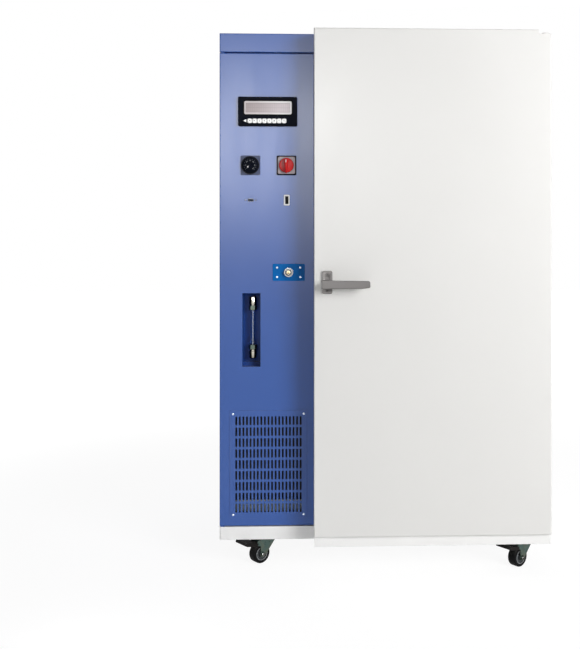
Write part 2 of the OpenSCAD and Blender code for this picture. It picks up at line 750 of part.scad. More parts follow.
// Fan shroud behind the condenser, with the motor on its bracket
cfan_c = [grille_c[0], cond_z + cond_h / 2];
cfan_y = cond_y + cond_d + 30;
cfan_r = 104;
module fan_shroud() color(dark_c) {
    x0 = cond_x + 3 + seat;
    x1 = cond_x + cond_w - 3 - seat;
    y0 = cond_y + cond_d + seat;
    difference() {
        slab(x0, x1, y0, cfan_y, cond_z + 2 + seat, cond_z + cond_h);
        slab(x0 + 2, x1 - 2, y0 - 1, cfan_y - 2, cond_z + 5, cond_z + cond_h - 2);
        bar_y(cfan_c, cfan_r + 5, y0 - 1, cfan_y + 1);
    }
    difference() {
        bar_y(cfan_c, cfan_r + 7, cfan_y - 2, cfan_y + 26);
        bar_y(cfan_c, cfan_r + 5, cfan_y - 3, cfan_y + 27);
    }
    difference() {
        for (a = [0, 90]) translate([cfan_c[0], 0, cfan_c[1]]) rotate([0, a + 45, 0])
            slab(-cfan_r - 6, cfan_r + 6, cfan_y + 26, cfan_y + 29, -8, 8);
        bar_y(cfan_c, 20, cfan_y, cfan_y + 40);
    }
    bar_y(cfan_c, 34, cfan_y + 28, cfan_y + 78);
    bar_y(cfan_c, 22, cfan_y + 24, cfan_y + 29);
    bar_y(cfan_c, 4, cfan_y - 4, cfan_y + 30);
}

// Axial fan of the condenser: hub and pitched blades
module condenser_fan() color([0.7, 0.7, 0.72]) {
    difference() {
        union() {
            bar_y(cfan_c, 30, cfan_y - 6, cfan_y + 18);
            for (a = [0:72:359]) translate([cfan_c[0], cfan_y + 6, cfan_c[1]]) rotate([0, a, 0])
                translate([26, 0, 0]) rotate([28, 0, 0])
                    linear_extrude(2, center = true) polygon([[0, -13], [74, -24], [76, 16], [0, 13]]);
        }
        bar_y(cfan_c, 4 + run_gap, cfan_y - 7, cfan_y + 19);
    }
}

// Humidifier tank on a tray that spans the column
module humidifier() color(steel_c) {
    t = 1.5;
    x0 = x_left + 60;
    x1 = x_blk - 62;
    y0 = y_col + 130;
    y1 = y_col + 350;
    z0 = gauge_ports[1] - 45;
    z1 = gauge_ports[0] + 40;
    slab(x_left + sheet_t, x_blk, y0 - 20, y1 + 20, z0 - t, z0);
    for (x = [x_left + sheet_t, x_blk - t]) slab(x, x + t, y0 - 20, y1 + 20, z0 - 30, z0);
    translate([0, 0, z0 - eps]) linear_extrude(z1 - z0 + eps) translate([(x0 + x1) / 2, (y0 + y1) / 2])
        rounded([x1 - x0, y1 - y0], 12);
    translate([0, 0, z1 - 8]) linear_extrude(10) translate([(x0 + x1) / 2, (y0 + y1) / 2])
        rounded([x1 - x0 + 12, y1 - y0 + 12], 14);
    bar_z([x0 + 60, y0 + 80], 22, z1, z1 + 24);
}

// Electrical plate on stand-offs, with contactors, relays and terminals
module electrical_plate() color([0.82, 0.82, 0.8]) {
    x1 = x_blk - 14;
    y0 = y_col + 130;
    y1 = y_rear - 225;
    z0 = top_z - 740;
    z1 = top_z - 140;
    slab(x1 - 2, x1, y0, y1, z0, z1);
    for (y = [y0 + 20, y1 - 20], z = [z0 + 20, z1 - 20]) bar_x([y, z], 6, x1 - 1, x_blk);
    for (i = [0:3]) slab(x1 - 82, x1 - 1.9, y0 + 40 + i * 60, y0 + 90 + i * 60, z1 - 130, z1 - 50);
    for (i = [0:4]) slab(x1 - 60, x1 - 1.9, y0 + 40 + i * 44, y0 + 76 + i * 44, z1 - 270, z1 - 190);
    slab(x1 - 42, x1 - 1.9, y0 + 30, y1 - 30, z0 + 60, z0 + 100);
    slab(x1 - 52, x1 - 1.9, y1 - 120, y1 - 40, z1 - 300, z1 - 60);
    for (z = [z0 + 130, z1 - 165]) slab(x1 - 52, x1 - 1.9, y0 + 10, y1 - 130, z, z + 25);
}

// Copper lines of the refrigeration circuit, the receiver, and the water and steam lines
module pipework() color(copper_c) {
    a = wall_lines;
    y_a = a[0][0];
    y_b = a[1][0];
    y_s = a[2][0];
    x_a = x_blk - 26;
    x_b = x_a - 16;
    x_c = x_a - 4;
    side = cond_x + cond_w;
    mid_y = cond_y + cond_d / 2;
    coil_x = x_mid - coil_w / 2 - 2;
    pipe([
        [comp_c[0] + 80, comp_c[1], comp_z[0]], [x_c, comp_c[1], comp_z[0]], [x_c, comp_c[1], 560],
        [x_c, mid_y, 560], [x_c, mid_y, cond_z + cond_h - 20], [side, mid_y, cond_z + cond_h - 20]
    ], 4);
    pipe([[side, mid_y, cond_z + 12], [x_a + 12, mid_y, cond_z + 12], [x_a + 12, y_a - 14, cond_z + 12]], 4);
    pipe([[x_a, y_a, 130], [x_a, y_a, a[0][1]], [coil_x, y_a, a[0][1]]], line_r - 0.2);
    bar_z([x_a, y_a], 20, z_deck, 240);
    pipe([
        [comp_c[0], comp_c[1] + 80, comp_z[1]], [comp_c[0], y_b, comp_z[1]], [x_b, y_b, comp_z[1]],
        [x_b, y_b, a[1][1]], [coil_x, y_b, a[1][1]]
    ], line_r - 0.2);
    pipe([
        [x_left + 120, y_col + 210, gauge_ports[0] + 64], [x_left + 120, y_col + 210, a[2][1]],
        [x_left + 120, y_s, a[2][1]], [cav_x0 + 24, y_s, a[2][1]]
    ], steam_r - 0.2);
    for (z = gauge_ports) bar_y([gauge_axis[0], z], 6, y_col + sheet_t + 2 + gauge_d + 16, y_col + 130);
}

// Fittings on the rear: chamber drain, water inlet and gland for the supply cable
module rear_fittings() color(steel_c) {
    drain = [x_mid, z_blk + 45];
    difference() {
        union() {
            bar_y(drain, spigot_d / 2, y_rear - 40, y_rear + spigot_out);
            bar_y(drain, spigot_d / 2 + 7, y_rear, y_rear + 3);
        }
        bar_y(drain, spigot_d / 2 - 1.5, y_rear - 41, y_rear + spigot_out + 1);
    }
    inlet = [x_left + 60, z_col + 640];
    bar_y(inlet, 16, y_rear, y_rear + 4);
    translate([inlet[0], y_rear + 8, inlet[1]]) rotate([90, 0, 0]) cylinder(r = 13, h = 8, center = true, $fn = 6);
    bar_y(inlet, 7, y_rear, y_rear + 22);
    gland = [x_left + 240, z_col + 640];
    difference() {
        union() {
            translate([gland[0], y_rear + 4, gland[1]]) rotate([90, 0, 0]) cylinder(r = 19, h = 8, center = true, $fn = 6);
            bar_y(gland, 14, y_rear + 4, y_rear + 20);
        }
        bar_y(gland, 7, y_rear + 6, y_rear + 21);
    }
}

// Solid outline of the door, with the notch for the hinge arm; inset moves every face inwards
module door_solid(inset, y1) {
    difference() {
        bent_front(x_blk + inset, x_right - inset, y_door + inset, y1, z_door + inset, top_z - inset, door_r - inset);
        slab(x_right - notch_w - inset, x_right + 1, y_door - 1, y1 + 1, top_z - notch_h - inset, top_z + 1);
    }
}

// Outer sheet of the door
module door_skin() color(white_c) {
    difference() {
        door_solid(0, y_slab);
        door_solid(door_sheet_t, y_slab + 1);
        for (z = [z_door - 1, top_z - notch_h - bush_l]) bar_z([piv_x, piv_y], bush_d / 2 + fit_gap, z, z + bush_l + 2);
        bar_y([hx, handle_z], spindle_d / 2 + 1, y_door - 1, y_door + 3);
    }
}

// Inner pan of the door, with the raised back that enters the chamber
module door_liner() color(steel_c) {
    t = door_sheet_t;
    g = fit_gap;
    difference() {
        union() {
            slab(x_blk + t + g, x_right - t - g, y_slab - 1, y_slab, z_door + t + g, top_z - t - g);
            raised_back(0, y_slab - 0.5);
        }
        raised_back(1, y_slab - 2);
        slab(x_right - notch_w - t - g, x_right, y_slab - 2, y_slab + 1, top_z - notch_h - t - g, top_z);
        bar_y([hx, handle_z], spindle_d / 2 + 1, y_slab - 2, y_slab + 1);
    }
}

// Raised back of the door from a depth inwards; inset moves its faces in
module raised_back(inset, y0) {
    size = [cav_w - 2 * plug_gap, cav_h - 2 * plug_gap] - 2 * [inset, inset];
    through_y(y0, y_frame + plug_d - inset) translate([x_mid, cav_z + cav_h / 2]) rounded(size, 18 - inset);
}

// Foam core of the door, with pockets for the bushes and the spindle
module door_foam() color([0.9, 0.85, 0.6]) {
    difference() {
        union() {
            door_solid(door_sheet_t + 0.1, y_slab - 1.05);
            raised_back(1.1, y_slab - 2);
        }
        for (z = [z_door, top_z - notch_h - bush_l - 1])
            bar_z([piv_x, piv_y], bush_d / 2 + fit_gap, z, z + bush_l + 2);
        bar_y([hx, handle_z], spindle_d / 2 + 1, y_door, y_slab + 1);
    }
}

// Magnetic gasket round the chamber's mouth
module door_gasket() color([0.8, 0.8, 0.8]) {
    w = gasket_w;
    zc = (cav_z + cav_top) / 2;
    y1 = y_frame - seat;
    difference() {
        through_y(y_slab, y1) translate([x_mid, zc]) rounded([cav_w + 12 + 2 * w, cav_h + 12 + 2 * w], 8);
        through_y(y_slab - 1, y1 + 1) translate([x_mid, zc]) square([cav_w + 12, cav_h + 12], center = true);
        difference() {
            through_y(y_slab + 4, y_slab + 7) translate([x_mid, zc])
                square([cav_w + 12 + 3 * w, cav_h + 12 + 3 * w], center = true);
            through_y(y_slab + 3, y_slab + 8) translate([x_mid, zc])
                square([cav_w + 8 + 2 * w, cav_h + 8 + 2 * w], center = true);
        }
    }
}

// Bushes that carry the door on its pins
module door_bushes() color([0.7, 0.68, 0.6]) {
    for (z = [z_door, top_z - notch_h - bush_l]) difference() {
        bar_z([piv_x, piv_y], bush_d / 2, z, z + bush_l);
        bar_z([piv_x, piv_y], hinge_pin_d / 2 + run_gap, z - 1, z + bush_l + 1);
    }
}

// Plate under the lever
module handle_plate() color(satin_c) {
    c = [hx, handle_z + 5];
    difference() {
        union() {
            through_y(y_door - 7, y_door) translate(c) rounded(handle_plate_size, 5);
            bar_y([hx, handle_z], 14, y_door - 10, y_door);
        }
        bar_y([hx, handle_z], spindle_d / 2 + 0.1, y_door - 12, y_door + 1);
        bar_y(c + [0, -27], 3, y_door - 8, y_door - 5.5);
    }
    bar_y(c + [0, 25], 6, y_door - 9, y_door - 6.5);
}

// Lever with its spindle through the door
module handle_lever() color(satin_c) {
    h = lever_h / 2;
    butt = handle_plate_size[0] / 2;
    y0 = y_door - handle_out;
    translate([hx, 0, handle_z]) {
        through_y(y0, y0 + lever_t) polygon([
            [-butt, h], [lever_len - 4, h - 2.5], [lever_len, h - 6], [lever_len, -h + 5],
            [lever_len - 3, -h + 3], [lever_len - 26, -h], [-butt, -h]
        ]);
        bar_y([0, 0], 11.5, y0 + lever_t - 1, y_door - 10 - seat);
        bar_y([0, 0], spindle_d / 2, y_door - 12, tongue_y + tongue_t);
    }
}

// Latch tongue on the spindle's inner end; hanging down it is clear of its keeper
module latch_tongue() color(steel_c) {
    translate([hx, 0, handle_z]) difference() {
        through_y(tongue_y, tongue_y + tongue_t) {
            circle(tongue_w / 2);
            translate([-tongue_w / 2, -tongue_len]) square([tongue_w, tongue_len]);
        }
        bar_y([0, 0], spindle_d / 2 + 0.02, tongue_y - 1, tongue_y + tongue_t + 1);
    }
}

// Service panel: one folded pan with every cut-out of the column's front
module service_panel() color(blue_c) {
    t = sheet_t;
    y0 = y_col - 1;
    y1 = y_col + t + 1;
    difference() {
        pan(x_left, x_blk - panel_gap, y_col, y_fold, z_pan0, z_pan1, bend_r, t);
        through_y(y0, y1) {
            translate(bezel_c) square(bezel - [8, 6], center = true);
            translate(dial_c) circle(24);
            translate(switch_c) circle(19);
            translate(socket_c) square([13, 29], center = true);
            translate(card_c) square([14, 7], center = true);
            translate(lock_c) circle(lock_d / 2 + 0.5);
            translate(gauge_c) square(gauge_win, center = true);
            translate(grille_c) square(grille_size - [22, 22], center = true);
            for (p = concat(grille_screws, lock_screws)) translate(p) circle(screw_d / 2 + fit_gap);
        }
        bar_z([pp_x, pp_y], panel_pin_d / 2 + run_gap, z_pan0 - 1, z_pan0 + 4);
        bar_z([pp_x, pp_y], panel_pin_d / 2 + run_gap, z_pan1 - 4, z_pan1 + 1);
    }
}

// Slotted grille screwed over the machine bay
module grille_panel() color(blue_c) {
    through_y(y_col - sheet_t, y_col) difference() {
        translate(grille_c) rounded(grille_size, 2);
        for (i = [0:slot_cols - 1], j = [0:slot_rows - 1])
            translate(grille_c + [(i - (slot_cols - 1) / 2) * slot_pitch[0], (j - (slot_rows - 1) / 2) * slot_pitch[1]])
                slot2d(slot_size);
        for (p = grille_screws) translate(p) circle(screw_d / 2 + fit_gap);
    }
}

// Screws of the grille and the lock plate
module panel_screws() color(steel_c) {
    for (p = grille_screws) screw(p, y_col - sheet_t);
    for (p = lock_screws) screw(p, y_col - lock_plate_t);
}

// Round-headed screw along Y with a cross recess, its head on a face
module screw(p, y) {
    difference() {
        translate([p[0], y, p[1]]) rotate([90, 0, 0]) rotate_extrude() intersection() {
            translate([0, -screw_head_d * 0.55 + 2.2]) circle(screw_head_d * 0.55);
            square([screw_head_d / 2, 3]);
        }
        for (a = [0, 90]) translate([p[0], 0, p[1]]) rotate([0, a, 0]) slab(-2.2, 2.2, y - 4, y - 1.2, -0.5, 0.5);
    }
    bar_y(p, screw_d / 2, y - 0.2, y + 9);
}

// Controller: deep bezel over the panel and its box behind it
module controller_case() color(dark_c) {
    y0 = y_col - bezel_out;
    difference() {
        union() {
            through_y(y0, y_col) translate(bezel_c) rounded(bezel, 4);
            through_y(y_col - 1, y_col + 85) translate(bezel_c) square(bezel - [12, 10], center = true);
        }
        through_y(y0 - 1, y0 + 5) translate(bezel_c + screen_off) rounded(screen_size, 6);
        through_y(y0 - 1, y0 + 1) translate(bezel_c + [-2, -31]) rounded([166, 24], 3);
        for (i = [-7:7]) slab(bezel_c[0] + i * 11 - 3, bezel_c[0] + i * 11 + 3, y_col + 15, y_col + 70,
            bezel_c[1] + bezel[1] / 2 - 8, bezel_c[1] + bezel[1] / 2);
    }
}

// Screen and its place on the bezel
screen_size = [154, 41];
screen_off = [1.5, 12];
module controller_screen() color([0.55, 0.52, 0.55]) {
    y0 = y_col - bezel_out;
    through_y(y0 + 1.5, y0 + 5) translate(bezel_c + screen_off) rounded(screen_size - [1, 1], 5.5);
}

// Sealed keypad: one membrane with nine raised key caps and a blank end
key_pitch = 16;
module controller_keys() color([0.9, 0.9, 0.88]) {
    y0 = y_col - bezel_out;
    through_y(y0 + 0.4, y0 + 1) translate(bezel_c + [-2, -31]) rounded([165, 23], 2.5);
    for (i = [0:8]) bar_y(bezel_c + [-74 + i * key_pitch, -31], 7.4, y0 - 1.2, y0 + 0.6);
}

// Plate and housing of the temperature limiter
module dial_plate() color([0.5, 0.5, 0.52]) {
    difference() {
        union() {
            through_y(y_col - 3, y_col) translate(dial_c) rounded([plate_w, plate_w], 4);
            bar_y(dial_c, 22, y_col - 1, y_col + 45);
            difference() {
                bar_y(dial_c, dial_d / 2 + 3, y_col - 8, y_col - 2);
                bar_y(dial_c, dial_d / 2 + 0.5, y_col - 9, y_col - 3);
            }
        }
        bar_y(dial_c, 3 + run_gap, y_col - 10, y_col + 20);
    }
}

// Dial of the limiter, with a raised finger bar
module dial_knob() color(dark_c) {
    y0 = y_col - 3 - seat;
    translate([dial_c[0], 0, dial_c[1]]) {
        bar_y([0, 0], dial_d / 2, y0 - 7, y0);
        bar_y([0, 0], 22.5, y0 - 10, y0 - 6);
        rotate([0, 45, 0]) translate([0, y0 - 20, 0]) rotate([-90, 0, 0]) linear_extrude(11) slot2d([8, 26]);
        bar_y([0, 0], 3, y0 - 1, y_col + 18);
    }
}

// Plate and housing of the main switch
module switch_plate() color(dark_c) {
    difference() {
        union() {
            through_y(y_col - 4, y_col) translate(switch_c) rounded([plate_w, plate_w], 4);
            through_y(y_col - 6, y_col - 3) translate(switch_c) rounded([plate_w - 8, plate_w - 8], 5);
            bar_y(switch_c, 25, y_col - 9, y_col - 5);
            bar_y(switch_c, 17, y_col - 1, y_col + 50);
        }
        bar_y(switch_c, switch_d / 2 + 0.5, y_col - 10, y_col - 7);
        bar_y(switch_c, 4 + run_gap, y_col - 10, y_col + 20);
    }
}

// Turning knob of the main switch, with its grip narrowing downwards
module switch_knob() color([0.75, 0.12, 0.1]) {
    y0 = y_col - 7 - seat;
    r = switch_d / 2;
    translate([switch_c[0], 0, switch_c[1]]) {
        bar_y([0, 0], r, y0 - 7, y0);
        through_y(y0 - 24, y0 - 6) {
            translate([0, r - 8]) circle(7);
            translate([0, -r + 6]) circle(4.5);
            polygon([[-7, r - 8], [7, r - 8], [4.5, -r + 6], [-4.5, -r + 6]]);
        }
        bar_y([0, 0], 4, y0 - 1, y_col + 18);
    }
}

// Data socket with its frame, and the card slot with two screws
module data_ports() color([0.9, 0.9, 0.88]) {
    difference() {
        union() {
            through_y(y_col - 3, y_col) translate(socket_c) rounded([19, 35], 3);
            through_y(y_col - 1, y_col + 22) translate(socket_c) square([12.4, 28.4], center = true);
        }
        through_y(y_col - 4, y_col + 16) translate(socket_c) square([9.5, 25], center = true);
    }
    through_y(y_col - 1, y_col + 16) translate(socket_c + [-1.5, 0]) square([2.4, 19], center = true);
    through_y(y_col - 1, y_col + 8) translate(socket_c + [-3.8, 0]) square([3, 19], center = true);
    difference() {
        union() {
            through_y(y_col - 1.2, y_col) translate(card_c) rounded([20, 11], 2);
            through_y(y_col - 1, y_col + 18) translate(card_c) square([13.4, 6.4], center = true);
        }
        through_y(y_col - 2, y_col + 14) translate(card_c) square([10, 3], center = true);
    }
    for (i = [-1, 1]) bar_y(card_c + [i * 17, 0], 2.6, y_col - 1.4, y_col);
}

// Bright plate round the lock
lock_plate_t = 2;
module lock_plate() color([0.1, 0.4, 0.75]) {
    through_y(y_col - lock_plate_t, y_col) difference() {
        translate(lock_c) rounded(lock_plate_size, 4);
        translate(lock_c) circle(lock_d / 2 + 0.3);
        for (p = lock_screws) translate(p) circle(screw_d / 2 + fit_gap);
    }
}

// Lock barrel with its collar, keyway and cam; hanging down the cam is clear of the keeper
module lock_cylinder() color(steel_c) {
    y0 = y_col - lock_plate_t - seat;
    cam_y = y_shell + sheet_t + 1.5;
    translate([lock_c[0], 0, lock_c[1]]) {
        difference() {
            union() {
                bar_y([0, 0], lock_d / 2 + 3, y0 - 4, y0);
                bar_y([0, 0], lock_d / 2, y0 - 12, cam_y);
            }
            slab(-1.2, 1.2, y0 - 13, y0 - 2, -5, 5);
        }
        through_y(cam_y, cam_y + 3) {
            circle(9);
            translate([-8, -44]) square([16, 44]);
        }
        translate([0, cam_y + 2.5, 0]) rotate([-90, 0, 0]) cylinder(r = 6, h = 6, $fn = 6);
    }
}

// Top plates of the casters, bolted under the base, with raceway and kingpin
module caster_plates() color(zinc_c) {
    b = caster_plate * 0.36;
    for (k = kings) translate([k[0], k[1], 0]) {
        difference() {
            translate([0, 0, plate_z]) linear_extrude(plate_t) rounded([caster_plate, caster_plate], 7);
            for (i = [-1, 1], j = [-1, 1]) bar_z([i, j] * b, 4 + fit_gap, plate_z - 1, base_z + 1);
        }
        translate([0, 0, plate_z - race_h]) cylinder(r1 = disc_r - 5, r2 = disc_r - 1, h = race_h + 0.2);
        bar_z([0, 0], king_r, fork_top - disc_h - 4, plate_z);
        bar_z([0, 0], king_r + 3.5, fork_top - disc_h - 4, fork_top - disc_h - seat);
        for (i = [-1, 1], j = [-1, 1]) {
            bar_z([i, j] * b, 4, plate_z - 1, z_deck - 0.2);
            translate([i * b, j * b, plate_z - 5]) cylinder(r = 7, h = 5, $fn = 6);
        }
    }
}

// Moves a caster piece drawn about its kingpin, trailing along +X, to its place
module at_caster(i) translate([kings[i][0], kings[i][1], 0]) rotate([0, 0, caster_turn]) children();

// Fork: bearing disc, two legs, and the axle bolt with its nut
module fork(i) color(zinc_c) at_caster(i) {
    zb = fork_top - disc_h;
    front = i < 2;
    difference() {
        union() {
            difference() {
                bar_z([0, 0], disc_r, zb, fork_top);
                bar_z([0, 0], disc_r - 4, zb - 1, zb + 3);
                bar_z([0, 0], king_r + seat, zb - 1, fork_top + 1);
            }
            difference() {
                bar_z([0, 0], king_r + 6, zb, zb + 4);
                bar_z([0, 0], king_r + seat, zb - 1, zb + 5);
            }
            for (s = [-1, 1]) {
                ya = s < 0 ? -leg_in - leg_t : leg_in;
                through_y(ya, ya + leg_t) {
                    polygon(front ?
                        [[-26, fork_top], [40, fork_top], [43, 72], [41, 63], [30, 60], [29, 32], [12, 26], [-26, 70]] :
                        [[-26, fork_top], [30, fork_top], [31, 60], [29, 32], [12, 26], [-26, 70]]);
                    translate([trail, wheel_r]) circle(9.5);
                    if (front) translate(pedal_at) circle(6);
                }
            }
            for (s = [-1, 1]) slab(-19, 19, s < 0 ? -leg_in - leg_t : disc_r - 12, s < 0 ? -disc_r + 12 : leg_in + leg_t,
                zb + 3, fork_top);
        }
        bar_y([trail, wheel_r], axle_d / 2 + fit_gap, -40, 40);
        if (front) bar_y(pedal_at, pedal_pin_r + fit_gap, -40, 40);
        bar_z([0, 0], king_r + seat, zb - 1, fork_top + 1);
        bar_z([0, 0], king_r + 4, zb - 8, zb);
    }
    bolt_end = leg_in + leg_t;
    bar_y([trail, wheel_r], axle_d / 2, -bolt_end - 8, bolt_end + 3);
    translate([trail, bolt_end + seat, wheel_r]) rotate([-90, 0, 0]) cylinder(r = 7.5, h = 5, $fn = 6);
    translate([trail, -bolt_end - seat - 6, wheel_r]) rotate([-90, 0, 0]) cylinder(r = 7.5, h = 6, $fn = 6);
    if (front) bar_y(pedal_at, pedal_pin_r, -bolt_end - 2, bolt_end + 2);
}

// Wheel: crowned tyre and hub in one turning
module wheel(i) color([0.14, 0.14, 0.15]) at_caster(i) translate([trail, 0, wheel_r]) rotate([-90, 0, 0]) {
    h = wheel_w / 2;
    crown = wheel_r - 3;
    crown_r = 76;
    difference() {
        rotate_extrude() {
            translate([axle_d / 2 + run_gap, -h]) square([8, wheel_w]);
            translate([axle_d / 2 + 4, -h + 4]) square([crown - 10, wheel_w - 8]);
            translate([crown - 8, -h + 1]) square([6, wheel_w - 2]);
            intersection() {
                translate([crown - 4, -h + 2]) square([8, wheel_w - 4]);
                translate([wheel_r - crown_r, 0]) circle(crown_r);
            }
        }
        for (a = [0:60:359]) rotate([0, 0, a]) translate([14.5, 0, -h - 1]) cylinder(r = 2.6, h = wheel_w + 2);
    }
}

// Foot pedal of a front caster's brake, ribbed on top
module pedal(i) color(dark_c) at_caster(i) {
    w = 58;
    inner = 2 * leg_in - 1.6;
    rise = 5.2;
    difference() {
        union() {
            through_y(-inner / 2, inner / 2) {
                translate(pedal_at) circle(5);
                polygon([pedal_at + [0, 5], pedal_at + [14, 5], pedal_at + [14, -4], pedal_at + [1, -4.9]]);
            }
            through_y(-w / 2, w / 2) polygon([
                pedal_at + [10, 5], pedal_at + [54, 9], pedal_at + [59, 8], pedal_at + [60, 5], pedal_at + [60, 0],
                pedal_at + [52, -3], pedal_at + [20, -5], pedal_at + [10, -4]
            ]);
        }
        bar_y(pedal_at, pedal_pin_r + run_gap, -w, w);
        for (k = [0:6]) translate(concat(pedal_at[0] + 17 + k * 5.5, 0, pedal_at[1] + 7.2 + k * 0.5))
            rotate([0, -rise, 0]) cube([2.4, w + 2, 5], center = true);
        through_y(-w / 2 + 4, w / 2 - 4) polygon([
            pedal_at + [24, 1.5], pedal_at + [50, 3.5], pedal_at + [50, -20], pedal_at + [24, -20]
        ]);
    }
}

base_tray();
column_shell();
block_shell();
rear_panels();
fascia();
front_frame();
inner_liner();
insulation();
door_hinges();
shelf_supports();
wire_shelves();
duct_panel();
circulation_motor();
circulation_impeller();
evaporator();
sensor_probe();
panel_hinges();
gauge_recess();
gauge_tube();
gauge_fittings();
compressor();
condenser();
fan_shroud();
condenser_fan();
humidifier();
electrical_plate();
pipework();
rear_fittings();
door_skin();
door_liner();
door_foam();
door_gasket();
door_bushes();
handle_plate();
handle_lever();
latch_tongue();
service_panel();
grille_panel();
panel_screws();
controller_case();
controller_screen();
controller_keys();
dial_plate();
dial_knob();
switch_plate();
switch_knob();
data_ports();
lock_plate();
lock_cylinder();
caster_plates();
fork(0);  // fork_front_left
fork(1);  // fork_front_right
fork(2);  // fork_rear_left
fork(3);  // fork_rear_right
wheel(0);  // wheel_front_left
wheel(1);  // wheel_front_right
wheel(2);  // wheel_rear_left
wheel(3);  // wheel_rear_right
pedal(0);  // pedal_front_left
pedal(1);  // pedal_front_right
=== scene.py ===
# Environmental test chamber: looks, detail pieces, stage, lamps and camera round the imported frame.
import json
import math
import bmesh
import bpy
import numpy as np
from mathutils import Matrix, Vector


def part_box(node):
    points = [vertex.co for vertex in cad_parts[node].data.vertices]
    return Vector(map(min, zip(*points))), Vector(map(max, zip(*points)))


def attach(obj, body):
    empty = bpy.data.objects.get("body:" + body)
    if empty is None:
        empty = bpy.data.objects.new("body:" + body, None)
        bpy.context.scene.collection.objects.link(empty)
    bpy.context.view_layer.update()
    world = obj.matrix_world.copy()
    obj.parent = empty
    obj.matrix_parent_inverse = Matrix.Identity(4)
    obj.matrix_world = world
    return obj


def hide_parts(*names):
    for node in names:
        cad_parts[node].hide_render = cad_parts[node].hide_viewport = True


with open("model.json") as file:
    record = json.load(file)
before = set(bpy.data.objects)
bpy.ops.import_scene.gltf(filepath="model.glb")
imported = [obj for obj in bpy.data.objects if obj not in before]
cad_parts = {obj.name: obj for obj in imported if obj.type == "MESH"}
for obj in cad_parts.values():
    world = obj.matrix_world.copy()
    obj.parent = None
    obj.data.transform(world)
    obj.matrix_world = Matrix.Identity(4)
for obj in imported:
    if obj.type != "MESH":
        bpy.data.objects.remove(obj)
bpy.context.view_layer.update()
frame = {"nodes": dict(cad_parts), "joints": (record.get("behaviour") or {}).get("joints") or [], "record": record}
nodes = frame["nodes"]
slotOfNode = {row["node"]: row["material_slot"] for row in frame["record"]["subparts"]}
bodies = frame["record"]["behaviour"]["bodies"]
bodyOfNode = {node: body for body, members in bodies.items() for node in members}
pivot = {row["name"]: np.array(row["pos_m"]) for row in frame["joints"]}
spin = {row["name"]: np.array(row["axis"]) for row in frame["joints"]}
corners = ("front_left", "front_right", "rear_left", "rear_right")
materials = {}
print("frame loaded with", len(nodes), "nodes")

# The camera stands where the photograph was taken, level, turned a little to the right
photoFrame = {"width": 580, "height": 649}
cameraSpec = {
    "place": (-0.109, -3.314, 1.0915),
    "turn": 2.23,  # degrees towards +X
    "focalPixels": 910.2,
    "axisPixel": (386.0, 234.1),  # where the optical axis meets the picture
    "sensor": 36.0,
}


def link(thing):
    bpy.context.scene.collection.objects.link(thing)


def makeCamera(spec):
    data = bpy.data.cameras.new("frontCamera")
    data.sensor_fit = "VERTICAL"
    data.sensor_height = spec["sensor"]
    data.lens = spec["focalPixels"] / photoFrame["height"] * spec["sensor"]
    data.shift_x = (photoFrame["width"] / 2 - spec["axisPixel"][0]) / photoFrame["height"]
    data.shift_y = (spec["axisPixel"][1] - photoFrame["height"] / 2) / photoFrame["height"]
    data.clip_end = 100.0
    camera = bpy.data.objects.new("frontCamera", data)
    camera.location = spec["place"]
    camera.rotation_euler = (math.radians(90), 0, -math.radians(spec["turn"]))
    link(camera)
    bpy.context.scene.camera = camera


makeCamera(cameraSpec)
print("camera in place")


# A link or a plain value into a socket; a plain colour is three numbers, and its alpha is 1
def feed(tree, socket, value):
    if isinstance(value, bpy.types.NodeSocket):
        tree.links.new(value, socket)
    elif socket.type == "RGBA":
        socket.default_value = (*value, 1.0)
    else:
        socket.default_value = value


# Sockets fed by name, with an underscore for each space
def feedAll(tree, sockets, **given):
    for label, value in given.items():
        feed(tree, sockets[label.replace("_", " ")], value)


def newNode(tree, kind, **given):
    node = tree.nodes.new("ShaderNode" + kind)
    feedAll(tree, node.inputs, **given)
    return node


# A Math or Vector Math node with its inputs fed in order
def operate(tree, kind, operation, values):
    node = newNode(tree, kind)
    node.operation = operation
    for socket, value in zip(node.inputs, values):
        feed(tree, socket, value)
    return node


def calc(tree, operation, *values, clamp=False):
    node = operate(tree, "Math", operation, values)
    node.use_clamp = clamp
    return node.outputs[0]


def measure(tree, operation, *vectors):
    return operate(tree, "VectorMath", operation, vectors).outputs["Value"]


def times(tree, one, other, clamp=False):
    return calc(tree, "MULTIPLY", one, other, clamp=clamp)


def less(tree, one, other):
    return calc(tree, "SUBTRACT", one, other)


# value * factor + offset
def scaled(tree, value, factor, offset):
    return calc(tree, "MULTIPLY_ADD", value, factor, offset)


def objectPoint(tree):
    return newNode(tree, "TexCoord").outputs["Object"]


# A vector's X, Y and Z as numbers
def axesOf(tree, vector):
    return newNode(tree, "SeparateXYZ", Vector=vector).outputs


def stretched(tree, point, scale):
    return newNode(tree, "Mapping", Vector=point, Scale=scale).outputs["Vector"]


def noise(tree, point, scale, detail):
    return newNode(tree, "TexNoise", Vector=point, Scale=scale, Detail=detail).outputs["Fac"]


# Smooth step of a value that goes from low to high, put out as start to end
def smooth(tree, value, low, high, start=0.0, end=1.0):
    node = newNode(tree, "MapRange", Value=value, From_Min=low, From_Max=high, To_Min=start, To_Max=end)
    node.interpolation_type = "SMOOTHSTEP"
    return node.outputs["Result"]


# 1 within half a width of the centre and 0 beyond, with a soft edge
def within(tree, value, centre, half, soft=0.0002):
    away = calc(tree, "ABSOLUTE", less(tree, value, centre))
    return smooth(tree, away, half - soft, half + soft, 1.0, 0.0)


# The same for an upright window in X and Z
def window(tree, at, centre, half, soft=0.0002):
    return times(tree, within(tree, at["X"], centre[0], half[0], soft),
                 within(tree, at["Z"], centre[1], half[1], soft))


